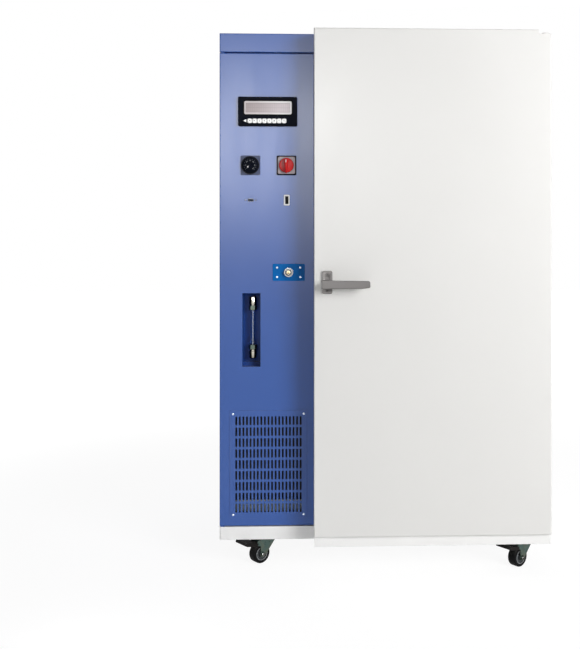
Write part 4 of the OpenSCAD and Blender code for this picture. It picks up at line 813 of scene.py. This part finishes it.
# Words or figures as a mesh, upright on a face that looks along -Y, turned about the face's normal
def lettering(text, height, spot, front, turn=0.0):
    curve = bpy.data.curves.new("letters", "FONT")
    curve.body = text
    curve.size = height
    curve.extrude = letterRise
    curve.resolution_u = 3
    curve.align_x = "CENTER"
    curve.align_y = "CENTER"
    holder = bpy.data.objects.new("letters", curve)
    link(holder)
    bpy.context.view_layer.update()
    mesh = bpy.data.meshes.new_from_object(holder.evaluated_get(bpy.context.evaluated_depsgraph_get()))
    bpy.data.objects.remove(holder)
    bpy.data.curves.remove(curve)
    stand = Matrix.Rotation(turn, 4, "Y") @ Matrix.Rotation(math.radians(90), 4, "X")
    mesh.transform(Matrix.Translation((spot[0], front, spot[1])) @ stand)
    return mesh


def joinMeshes(name, meshes):
    work = bmesh.new()
    for mesh in meshes:
        work.from_mesh(mesh)
    joined = bpy.data.meshes.new(name)
    work.to_mesh(joined)
    work.free()
    for mesh in meshes:
        bpy.data.meshes.remove(mesh)
    return joined


pedalLift = 8.0  # degrees that the released pedals stand up
pedalBrakes = {"pedal_" + corner: corner + "_brake" for corner in corners[:2]}
# Nodes that show as a copy with rounded edges, and the width of that rounding
softEdges = {
    "controller_case": 0.0010, "handle_lever": 0.0016, "handle_plate": 0.0012, "lock_plate": 0.0005,
    "dial_plate": 0.0007, "switch_plate": 0.0007, **{pedal: 0.0010 for pedal in pedalBrakes},
    **{"fork_" + corner: 0.0006 for corner in corners},
}


# A frame node's copy with its doubles merged, its flat faces joined and its edges rounded; a pedal is also
# turned up about its brake's pivot
def softenNode(name, width):
    mesh = nodes[name].data.copy()
    work = bmesh.new()
    work.from_mesh(mesh)
    bmesh.ops.remove_doubles(work, verts=work.verts, dist=0.00001)
    bmesh.ops.dissolve_limit(work, angle_limit=math.radians(1.0), verts=work.verts, edges=work.edges)
    work.to_mesh(mesh)
    work.free()
    if name in pedalBrakes:
        hinge = Vector(pivot[pedalBrakes[name]])
        lift = Matrix.Rotation(math.radians(-pedalLift), 4, Vector(spin[pedalBrakes[name]]))
        mesh.transform(Matrix.Translation(hinge) @ lift @ Matrix.Translation(-hinge))
    piece = newPiece(name + "_soft", mesh, ownFinish.get(name, slotOfNode[name]), 30.0)
    bevel = piece.modifiers.new("softEdge", "BEVEL")
    bevel.width = width
    bevel.segments = 2
    bevel.limit_method = "ANGLE"
    bevel.angle_limit = math.radians(40)
    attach(piece, bodyOfNode[name])
    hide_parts(name)


for name, width in softEdges.items():
    softenNode(name, width)
print("edges rounded on", len(softEdges), "nodes")

bezelCentre = (-0.3805, 1.493)
display = {
    "centre": (bezelCentre[0] + 0.0015, bezelCentre[1] + 0.012), "front": -0.3233, "back": -0.3190,
    "pane": (0.1548, 0.0434), "paneRadius": 0.0052, "rim": (0.1632, 0.0516), "rimRadius": 0.0090,
    "rimWidth": 0.0042, "rimFoot": -0.3226, "rimTop": -0.3241,
}


# Glossy rim: a rounded bar section carried round the display's opening, and the pane under it
def makeDisplay(spec):
    foot, top, width = spec["rimFoot"], spec["rimTop"], spec["rimWidth"]
    near = [(0.0, foot), (0.0, top + 0.0005), (0.0003, top + 0.0001), (0.0009, top)]
    section = near + [(width - inset, depth) for inset, depth in near[::-1]]
    rim = framed(spec["centre"], spec["rim"], spec["rimRadius"], section, wrap=True)
    finishPiece("displayRim", [rim], "black_plastic", "service_door", material="gloss_black")
    pane = slab(spec["centre"], spec["pane"], spec["paneRadius"], spec["front"], spec["back"], 0.0002)
    finishPiece("displayPane", [pane], "screen_glass", "service_door", replaced=["controller_screen"])


makeDisplay(display)

keys = {
    "strip": (0.1656, 0.0236), "centre": (bezelCentre[0] - 0.002, bezelCentre[1] - 0.031), "count": 9,
    "pitch": 0.016, "first": bezelCentre[0] - 0.074, "cap": (0.0152, 0.0158), "corner": 0.0044,
    "edge": 0.0018, "middle": 0.0071, "face": -0.3231, "top": -0.3246, "mark": 0.0024,
}


# Key row: a dark strip, and caps whose inset grows as edge * (1 - cos a) while they rise as height * sin a
def makeKeys(spec):
    strip = slab(spec["centre"], spec["strip"], 0.003, spec["face"], spec["face"] + 0.001, 0.0002)
    finishPiece("keyStrip", [strip], "black_plastic", "service_door")
    angle = np.linspace(0, np.pi / 2, 6)
    face, top, middle = spec["face"], spec["top"], spec["middle"]
    rim = zip(spec["edge"] * (1 - np.cos(angle)), face - (face - top) * np.sin(angle))
    dome = [(middle, face + 0.0006), (0.0, face + 0.0006), *rim, (middle, top)]
    places = [(spec["first"] + i * spec["pitch"], spec["centre"][1]) for i in range(spec["count"])]
    caps = [framed(spot, spec["cap"], spec["corner"], dome, corner=5) for spot in places]
    finishPiece("keyDark", caps[:1], "black_plastic", "service_door")
    finishPiece("keyCaps", caps[1:], "white_plastic", "service_door", replaced=["controller_keys"])
    size = spec["mark"]
    arrow = np.array([(-size, -size), (size, -size), (0.0, size)])
    circle = spotOutline(size)
    bar = barOutline(size, -size * 0.3, size * 0.3)
    quarter = np.array([[0.0, 1.0], [-1.0, 0.0]])
    shapes = [arrow @ quarter * 2.1, arrow @ quarter, arrow @ -quarter, arrow, -arrow, bar @ quarter, circle,
              bar, circle * 0.7]
    marks = [raised(shape + spot, top - 0.00012, top + 0.0002) for shape, spot in zip(shapes, places)]
    finishPiece("keyArrow", marks[:1], "white_plastic", "service_door")
    finishPiece("keyMarks", marks[1:], "grey_plastic", "service_door", material="print_grey")


makeKeys(keys)
print("controller dressed")

dial = {
    "centre": pivot["limiter_dial_turn"][[0, 2]], "back": -0.3173, "rim": -0.3242, "top": -0.3272,
    "radius": 0.0268, "inner": 0.0224, "figures": ("0", "50", "100", "150", "200", "250", "300"),
    "figureRing": 0.0148, "figureSize": 0.0044, "tickRing": (0.0190, 0.0206), "from": 225.0, "to": -45.0,
    "bar": (0.0080, 0.0260), "barRadius": 0.0038, "barTop": -0.3362, "lean": 45.0, "ribs": (48, 0.00035),
    "spot": 0.0021, "spotAt": -0.0092,
}


# Limiter dial: a turned disc with a ribbed edge, a finger bar narrowing upwards, figures and ticks round it
def makeDial(spec):
    x, z = spec["centre"]
    back, rim, top = spec["back"], spec["rim"], spec["top"]
    r, inner = spec["radius"], spec["inner"]
    profile = [(0.0, 0.0), (r - 0.001, 0.0), (r, 0.0006, 1.0), (r, back - rim - 0.0008, 1.0),
               (r - 0.0008, back - rim), (inner + 0.0009, back - rim), (inner, back - rim + 0.0005),
               (inner - 0.0004, back - top - 0.0004), (inner - 0.0012, back - top), (0.0, back - top)]
    disc = turned((x, back, z), forward, profile, 144, ribs=spec["ribs"])
    lean = math.radians(spec["lean"])
    turn = np.array([[math.cos(lean), -math.sin(lean)], [math.sin(lean), math.cos(lean)]])
    half, barTop = spec["bar"][0] / 2, spec["barTop"]
    steps = [(half, top + 0.001), (0.0, top + 0.001), (0.0006, barTop + 0.002), (0.0010, barTop + 0.0005),
             (0.0016, barTop), (half, barTop)]
    bar, wrapRows, wrapColumns = framed((0.0, 0.0), spec["bar"], spec["barRadius"], steps)
    bar[..., [0, 2]] = bar[..., [0, 2]] @ turn + np.array((x, z))
    finishPiece("limiterDial", [disc, (bar, wrapRows, wrapColumns)], "black_plastic",
                "limiter_dial", replaced=["dial_knob"], sharp=45.0)
    count = len(spec["figures"])
    angles = np.radians(np.linspace(spec["from"], spec["to"], count))
    words = [lettering(text, spec["figureSize"],
                       (x + spec["figureRing"] * math.cos(a), z + spec["figureRing"] * math.sin(a)),
                       top - 0.00005, math.pi / 2 - a)
             for text, a in zip(spec["figures"], angles)]
    ticks = []
    for a in np.radians(np.linspace(spec["from"], spec["to"], 2 * count - 1)):
        out = np.array((math.cos(a), math.sin(a)))
        side = np.array((-out[1], out[0])) * 0.0003
        near, far = out * spec["tickRing"][0], out * spec["tickRing"][1]
        outline = np.array([near - side, near + side, far + side, far - side])
        ticks.append(raised(outline + (x, z), top - 0.0001, top + 0.0002))
    pointer = barOutline(0.0005, -0.0100, -0.0045) @ turn
    spot = spotOutline(spec["spot"]) + np.array((0.0, spec["spotAt"])) @ turn
    marks = [raised(shape + (x, z), barTop - 0.0001, barTop + 0.0003) for shape in (pointer, spot)]
    finishPiece("dialFigures", joinMeshes("dialFigures", words + [meshFromSurfaces("ticks", ticks)]),
                "white_plastic", "limiter_dial", material="ring_grey")
    finishPiece("dialPointer", marks, "white_plastic", "limiter_dial")


makeDial(dial)

switch = {
    "centre": pivot["main_switch_turn"][[0, 2]], "plate": -0.3200, "face": (0.0560, 0.0560),
    "faceFront": -0.3205, "ring": (0.0241, 0.0262), "ringFront": -0.3236, "back": -0.3213, "skirt": 0.0236,
    "skirtTop": -0.3282, "skirtEdge": (0.0026, 0.0022), "gripTop": -0.3450, "gripFrom": -0.0262,
    "gripTo": 0.0212, "gripWide": (0.0088, 0.0030), "letter": 0.0062, "letterAt": 0.0243,
}


# Grip: across = width * cos v to the power 0.7, out = height * sin v to the power 0.6; both close at the two
# ends, and the width goes from the narrow foot to the wide head as a smooth step of the way along
def gripSurface(spec, x, z):
    t = np.linspace(0, 1, 41)[:, None]
    v = np.linspace(0, np.pi, 21)[None, :]
    closing = np.sqrt(np.clip(1 - (2 * t - 1) ** 8, 0, 1))
    step = t * t * (3 - 2 * t)
    wide, narrow = spec["gripWide"]
    width = (narrow + (wide - narrow) * step) * closing
    height = (spec["skirtTop"] - spec["gripTop"]) * (0.62 + 0.38 * np.sin(np.pi * t) ** 0.8) * closing
    grid = np.empty((41, 21, 3))
    grid[..., 0] = x + width * np.sign(np.cos(v)) * np.abs(np.cos(v)) ** 0.7
    grid[..., 1] = spec["skirtTop"] + 0.0006 - height * np.sin(v) ** 0.6
    grid[..., 2] = z + spec["gripFrom"] + t * (spec["gripTo"] - spec["gripFrom"]) + 0 * v
    return grid, False, True


# Main switch: a pale face and ring on the plate, and a red knob with a domed skirt and a grip that narrows
# downwards
def makeSwitch(spec):
    x, z = spec["centre"]
    face = slab((x, z), spec["face"], 0.005, spec["faceFront"], spec["faceFront"] + 0.001, 0.0003)
    inner, outer = spec["ring"]
    rise = spec["plate"] - spec["ringFront"]
    section = [(inner, 0.0), (inner, rise - 0.0004), (inner + 0.0004, rise), (outer - 0.0010, rise),
               (outer, rise - 0.0012), (outer, 0.0)]
    ring = turned((x, spec["plate"], z), forward, section, 64, wrap=True)
    finishPiece("switchFace", [face, ring], "grey_plastic", "service_door", material="pale_face")
    r, lift = spec["skirt"], spec["back"] - spec["skirtTop"]
    angle = np.linspace(0, np.pi / 2, 5)
    across, along = spec["skirtEdge"]
    rim = zip(r - across * (1 - np.cos(angle)), lift - along * (1 - np.sin(angle)))
    skirt = [(0.0, 0.0), (r, 0.0), *rim, (0.0, lift + 0.0004)]
    knob = turned((x, spec["back"], z), forward, skirt, 64)
    finishPiece("switchHandle", [knob, gripSurface(spec, x, z)], "red_plastic",
                "main_switch", replaced=["switch_knob"], sharp=50.0)
    top = spec["gripTop"]
    pointer = raised(barOutline(0.0010, 0.0080, 0.0165) + (x, z), top - 0.0001, top + 0.0016)
    finishPiece("switchPointer", [pointer], "white_plastic", "main_switch")
    front, out = spec["faceFront"] - 0.00005, spec["letterAt"]
    words = [lettering(letter, spec["letter"], (x + side * out, z + out), front)
             for letter, side in (("I", 1), ("O", -1))]
    finishPiece("switchMarks", joinMeshes("switchMarks", words), "black_plastic", "service_door")


makeSwitch(switch)

lock = {"centre": pivot["panel_lock_turn"][[0, 2]], "face": -0.3283, "radius": 0.0106, "core": 0.0062}


# Lock face: a domed brass core with its keyway as a near black mark of painted shade, and a dull ring round it, in
# the barrel's mouth
def makeLock(spec):
    x, z = spec["centre"]
    r, inner, face = spec["radius"], spec["core"], spec["face"]
    dome = [(0.0, -0.0006), (inner, -0.0006), (inner, 0.0008), (inner - 0.0005, 0.0011), (0.0, 0.0015)]
    lip = [(inner + 0.0012, -0.0006), (r, -0.0006), (r, 0.0006), (r - 0.0010, 0.0013),
           (inner + 0.0022, 0.0013), (inner + 0.0012, 0.0004)]
    finishPiece("lockCore", [turned((x, face, z), forward, dome, 40)], "bush_metal", "panel_lock")
    ring = turned((x, face, z), forward, lip, 40, wrap=True)
    finishPiece("lockRing", [ring], "chrome", "panel_lock", material="dull_chrome")
    way = raised(barOutline(0.0007, -0.0035, 0.0035) + (x, z), face - 0.00165, face - 0.0005)
    finishPiece("lockKeyway", [way], "black_plastic", "panel_lock", material="deep_black")


makeLock(lock)
print("dial, switch and lock dressed")

seal = {
    "centre": (0.156, 0.915), "size": (0.648, 1.498), "radius": 0.008, "width": 0.018, "door": -0.3490,
    "cabinet": -0.3374,
}


# Bellows seal: a closed section with one fold on each side, carried round the chamber's mouth
def makeSeal(spec):
    door, cabinet, width = spec["door"], spec["cabinet"], spec["width"]
    deep = cabinet - door
    near = [(0.0, door), (0.0, door + 0.22 * deep), (0.0032, door + 0.42 * deep),
            (0.0032, door + 0.50 * deep), (0.0004, door + 0.70 * deep), (0.0004, cabinet - 0.0012),
            (0.0016, cabinet)]
    section = near + [(width - inset, depth) for inset, depth in near[::-1]]
    ring = framed(spec["centre"], spec["size"], spec["radius"], section, wrap=True, corner=5)
    finishPiece("doorSeal", [ring], "gasket_rubber", "door", replaced=["door_gasket"])


makeSeal(seal)

tubeLow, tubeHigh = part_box("gauge_tube")
gauge = {
    "axis": (-0.432, -0.284), "upper": 0.873, "lower": 0.693, "back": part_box("gauge_recess")[1][1] - 0.0012,
    "tube": (tubeHigh[0] - tubeLow[0]) / 2 + 0.0001, "line": (0.7185, 0.8395), "lineHalf": 0.10,
    "lineThick": 0.0003,
}


# Gauge end: a six-sided nut and a rounded barrel turned about the tube's axis, and a short stub to the wall
def gaugeEnd(spec, height, way):
    x, y = spec["axis"]
    wall = spec["back"] - y
    nut = [(0.0067, -0.033), (0.0118, -0.033), (0.0136, -0.0316), (0.0136, -0.0184), (0.0118, -0.017),
           (0.0067, -0.017)]
    barrel = [(0.0067, -0.0172), (0.0104, -0.0172), (0.0106, -0.013), (0.0119, -0.0116), (0.0119, 0.0085),
              (0.0108, 0.0112), (0.0088, 0.0122), (0.0, 0.0122), (0.0, -0.0166), (0.0067, -0.0166)]
    stub = [(0.0, 0.0), (0.0072, 0.0), (0.0072, wall - 0.005), (0.0112, wall - 0.005),
            (0.0112, wall - 0.0003), (0.0, wall - 0.0003)]
    middle, upright = (x, y, height), (0, 0, way)
    end = [turned(middle, upright, barrel, 40), turned(middle, (0, 1, 0), stub, 24)]
    return turned(middle, upright, nut, 6, wrap=True), end


# Gauge: both ends with their nuts, and a pale strip down the front of the tube as a painted highlight of the glass
def makeGauge(spec):
    upperNut, upperEnd = gaugeEnd(spec, spec["upper"], 1)
    lowerNut, lowerEnd = gaugeEnd(spec, spec["lower"], -1)
    finishPiece("gaugeEnds", upperEnd + lowerEnd, "chrome", "cabinet", replaced=["gauge_fittings"],
                material="dark_nickel")
    finishPiece("gaugeNuts", [upperNut, lowerNut], "zinc_plate", "cabinet")
    # Painted highlight: a pale strip stands in for the glass tube's highlight
    angle = np.linspace(-spec["lineHalf"], spec["lineHalf"], 5)
    turn = np.concatenate([angle, angle[::-1]])
    radius = np.repeat([spec["tube"], spec["tube"] + spec["lineThick"]], 5)
    grid = np.empty((10, 2, 3))
    grid[..., 0] = (spec["axis"][0] + radius * np.sin(turn))[:, None]
    grid[..., 1] = (spec["axis"][1] - radius * np.cos(turn))[:, None]
    grid[..., 2] = spec["line"]
    finishPiece("gaugeLine", [(grid, True, False)], "white_plastic", "cabinet", material="pale_blue")


makeGauge(gauge)

handle = {"key": (-0.183, 0.963), "keyFace": -0.4180, "screw": (-0.183, 0.911), "screwFace": -0.4146}


# Handle plate: a key cylinder with a slot, and a domed screw with a cross; the slot and the cross are near black
# marks of painted shade
def makeHandleDetails(spec):
    ring = [(0.0046, -0.0003), (0.0062, -0.0003), (0.0062, 0.0006), (0.0058, 0.0011), (0.0050, 0.0011),
            (0.0046, 0.0006)]
    core = [(0.0, -0.0003), (0.0044, -0.0003), (0.0044, 0.0003), (0.0040, 0.0007), (0.0, 0.0009)]
    head = [(0.0, -0.0006), (0.0027, -0.0006), (0.0027, 0.0004), (0.0021, 0.0010), (0.0, 0.0014)]
    (x, z), keyFace = spec["key"], spec["keyFace"]
    (screwX, screwZ), front = spec["screw"], spec["screwFace"] - 0.0015
    keyRing = turned((x, keyFace, z), forward, ring, 32, wrap=True)
    keyCore = turned((x, keyFace, z), forward, core, 28)
    screw = turned((screwX, spec["screwFace"], screwZ), forward, head, 24)
    finishPiece("handleTrim", [keyRing, keyCore, screw], "satin_metal", "door")
    cross = barOutline(0.0003, -0.0015, 0.0015)
    marks = [raised(barOutline(0.0006, -0.0030, 0.0030) + (x, z), keyFace - 0.00105, keyFace),
             raised(cross + (screwX, screwZ), front, front + 0.0004),
             raised(cross[:, ::-1] + (screwX, screwZ), front + 0.0001, front + 0.0004)]
    finishPiece("handleSlots", marks, "black_plastic", "door", material="deep_black")


makeHandleDetails(handle)
print("gauge and handle dressed")

wheels = {
    "width": 0.031, "radius": 0.0319, "seat": 0.0228, "shoulder": 0.0042, "crown": 0.0001, "hub": 0.0226,
    "boss": 0.0090, "bore": 0.0042, "ring": (0.0196, 0.0212), "cap": 0.0066, "capOut": 0.0213,
    "capLong": 0.0062,
}


# Tyre: a section with a flat tread, quarter-circle shoulders and dished sides, turned about the axle
def tyreSection(spec):
    half, r, seat, bend = spec["width"] / 2, spec["radius"], spec["seat"], spec["shoulder"]
    angle = np.linspace(0, np.pi / 2, 6)
    shoulder = np.stack([r - bend + bend * np.cos(angle), half - bend + bend * np.sin(angle)], axis=-1)
    tread = np.linspace(-1, 1, 5)[:, None] * (half - bend)
    crown = np.concatenate([r + spec["crown"] * (1 - (tread / half) ** 2), tread], axis=-1)
    near = shoulder[::-1] * (1, -1)
    return [(seat, -half + 0.0012), (seat + 0.0012, -half + 0.0002), *near.tolist(), *crown[1:-1].tolist(),
            *shoulder.tolist(), (seat + 0.0012, half - 0.0002), (seat, half - 0.0012)]


# Hub: a ring lip at the tyre, a dish, and a boss at the bore, the same on both sides
def hubSection(spec):
    half, hub, boss, bore = spec["width"] / 2, spec["hub"], spec["boss"], spec["bore"]
    side = [(hub, half - 0.0022), (hub - 0.0004, half - 0.0006), (hub - 0.0022, half - 0.0006),
            (hub - 0.0030, half - 0.0016), (hub - 0.0036, half - 0.0052), (boss + 0.0016, half - 0.0060),
            (boss, half - 0.0046), (boss - 0.0004, half - 0.0001), (bore + 0.0004, half + 0.0002),
            (bore, half - 0.0002)]
    return side + [(r, -y) for r, y in side[::-1]]


def makeWheels(spec):
    near, far = spec["ring"]
    face = spec["width"] / 2 - 0.0009
    lip = [(near, face), (near + 0.0003, face + 0.0007), (far - 0.0003, face + 0.0007), (far, face)]
    start, end, r = spec["capOut"], spec["capOut"] + spec["capLong"], spec["cap"]
    cap = [(0.0, start), (r, start), (r, end - 0.0022), (r - 0.0018, end - 0.0004), (0.0, end)]
    for corner in corners:
        centre, axis = pivot[corner + "_roll"], spin[corner + "_roll"]
        tyre = turned(centre, axis, tyreSection(spec), 64, wrap=True)
        finishPiece("tyre_" + corner, [tyre], "dark_rubber", "roller_" + corner, replaced=["wheel_" + corner])
        hub = turned(centre, axis, hubSection(spec), 48, wrap=True)
        finishPiece("hub_" + corner, [hub], "grey_plastic", "roller_" + corner, material="hub_grey")
        rings = [turned(centre, side * axis, lip, 48, wrap=True) for side in (1, -1)]
        finishPiece("hubRings_" + corner, rings, "grey_plastic", "roller_" + corner, material="ring_grey")
        caps = [turned(centre, side * axis, cap, 32) for side in (1, -1)]
        finishPiece("axleCaps_" + corner, caps, "chrome", "caster_" + corner)


makeWheels(wheels)
print("door seal and wheels made")


# Stage: a wide pale floor whose shadow shows near the object and fades to white further out
stageSpec = {
    "half": 14.0, "colour": (0.90, 0.90, 0.90), "rough": 0.8, "gloss": 0.1, "shadowShare": 0.18,
    "glow": 1.10, "fadeFrom": 1.3, "fadeTo": 3.6,
}


# 1 for rays that show the background: from the camera, or by way of gloss or glass
def seenRay(tree):
    path = newNode(tree, "LightPath").outputs
    mirrored = calc(tree, "MAXIMUM", path["Is Glossy Ray"], path["Is Transmission Ray"])
    return calc(tree, "MAXIMUM", path["Is Camera Ray"], mirrored)


# Floor: rays that see the background get a share of plain white, which grows with distance from the middle
def makeFloor(spec):
    tree, shader = startMaterial("paleFloor", Base_Color=spec["colour"], Roughness=spec["rough"],
                                 Specular_IOR_Level=spec["gloss"])
    distance = measure(tree, "LENGTH", objectPoint(tree))
    share = smooth(tree, distance, spec["fadeFrom"], spec["fadeTo"], 1 - spec["shadowShare"], 1.0)
    white = newNode(tree, "Emission", Strength=spec["glow"])
    mix = newNode(tree, "MixShader", Fac=times(tree, seenRay(tree), share))
    tree.links.new(shader["Roughness"].node.outputs[0], mix.inputs[1])
    tree.links.new(white.outputs[0], mix.inputs[2])
    tree.links.new(mix.outputs[0], tree.nodes["Material Output"].inputs["Surface"])
    mesh = bpy.data.meshes.new("paleFloor")
    size = spec["half"]
    mesh.from_pydata([(-size, -size, 0), (size, -size, 0), (size, size, 0), (-size, size, 0)], [],
                     [(0, 1, 2, 3)])
    mesh.materials.append(materials["paleFloor"])
    floor = bpy.data.objects.new("paleFloor", mesh)
    link(floor)


# Soft studio: a key from the right, a fill from above, a card at the left that only shows in gloss, a small
# low lamp for the base, and one lamp behind
softBoxes = {
    "rightKey": {"place": (2.65, -3.65, 2.0), "aim": (0.0, -0.3, 0.9), "size": (2.0, 2.0), "radiance": 11.2},
    "topFront": {"place": (0.3, -2.5, 4.2), "aim": (0.0, -0.3, 1.1), "size": (2.4, 1.4), "radiance": 0.6},
    "leftCard": {"place": (-0.92, -3.9, 1.80), "aim": (-0.82, -0.3, 1.4), "size": (1.45, 0.5),
                 "radiance": 29.5, "glossOnly": True},
    "lowKicker": {"place": (-0.75, -1.05, 0.16), "aim": (-0.42, -0.31, 0.11), "size": (0.5, 0.10),
                  "radiance": 5.0, "hidden": True},
    "rearTop": {"place": (0.3, 2.6, 3.2), "aim": (0.0, 0.2, 0.9), "size": (2.6, 1.4), "radiance": 3.0},
}


# A rectangular lamp aimed at a point; its power is radiance * pi * area
def makeLamp(name, spec):
    lamp = bpy.data.lights.new(name, "AREA")
    lamp.shape = "RECTANGLE"
    lamp.size, lamp.size_y = spec["size"]
    lamp.energy = spec["radiance"] * math.pi * lamp.size * lamp.size_y
    holder = bpy.data.objects.new(name, lamp)
    holder.location = spec["place"]
    ray = Vector(spec["aim"]) - Vector(spec["place"])
    holder.rotation_euler = ray.to_track_quat("-Z", "Y").to_euler()
    holder.visible_diffuse = not spec.get("glossOnly", False)
    holder.visible_camera = not spec.get("hidden", False)
    holder.visible_glossy = not spec.get("hidden", False)
    link(holder)


worldFill = 0.12


# White for rays that show the background, and a dim fill for the light that falls on the object
def makeWorld(fill):
    world = bpy.data.worlds.new("studio")
    bpy.context.scene.world = world
    world.use_nodes = True
    tree = world.node_tree
    strength = smooth(tree, seenRay(tree), 0.0, 1.0, fill, 1.0)
    feedAll(tree, tree.nodes["Background"].inputs, Color=(1.0, 1.0, 1.0), Strength=strength)


makeFloor(stageSpec)
for name, spec in softBoxes.items():
    makeLamp(name, spec)
makeWorld(worldFill)
bpy.context.scene.view_settings.view_transform = "Standard"
print("stage and lamps in place")
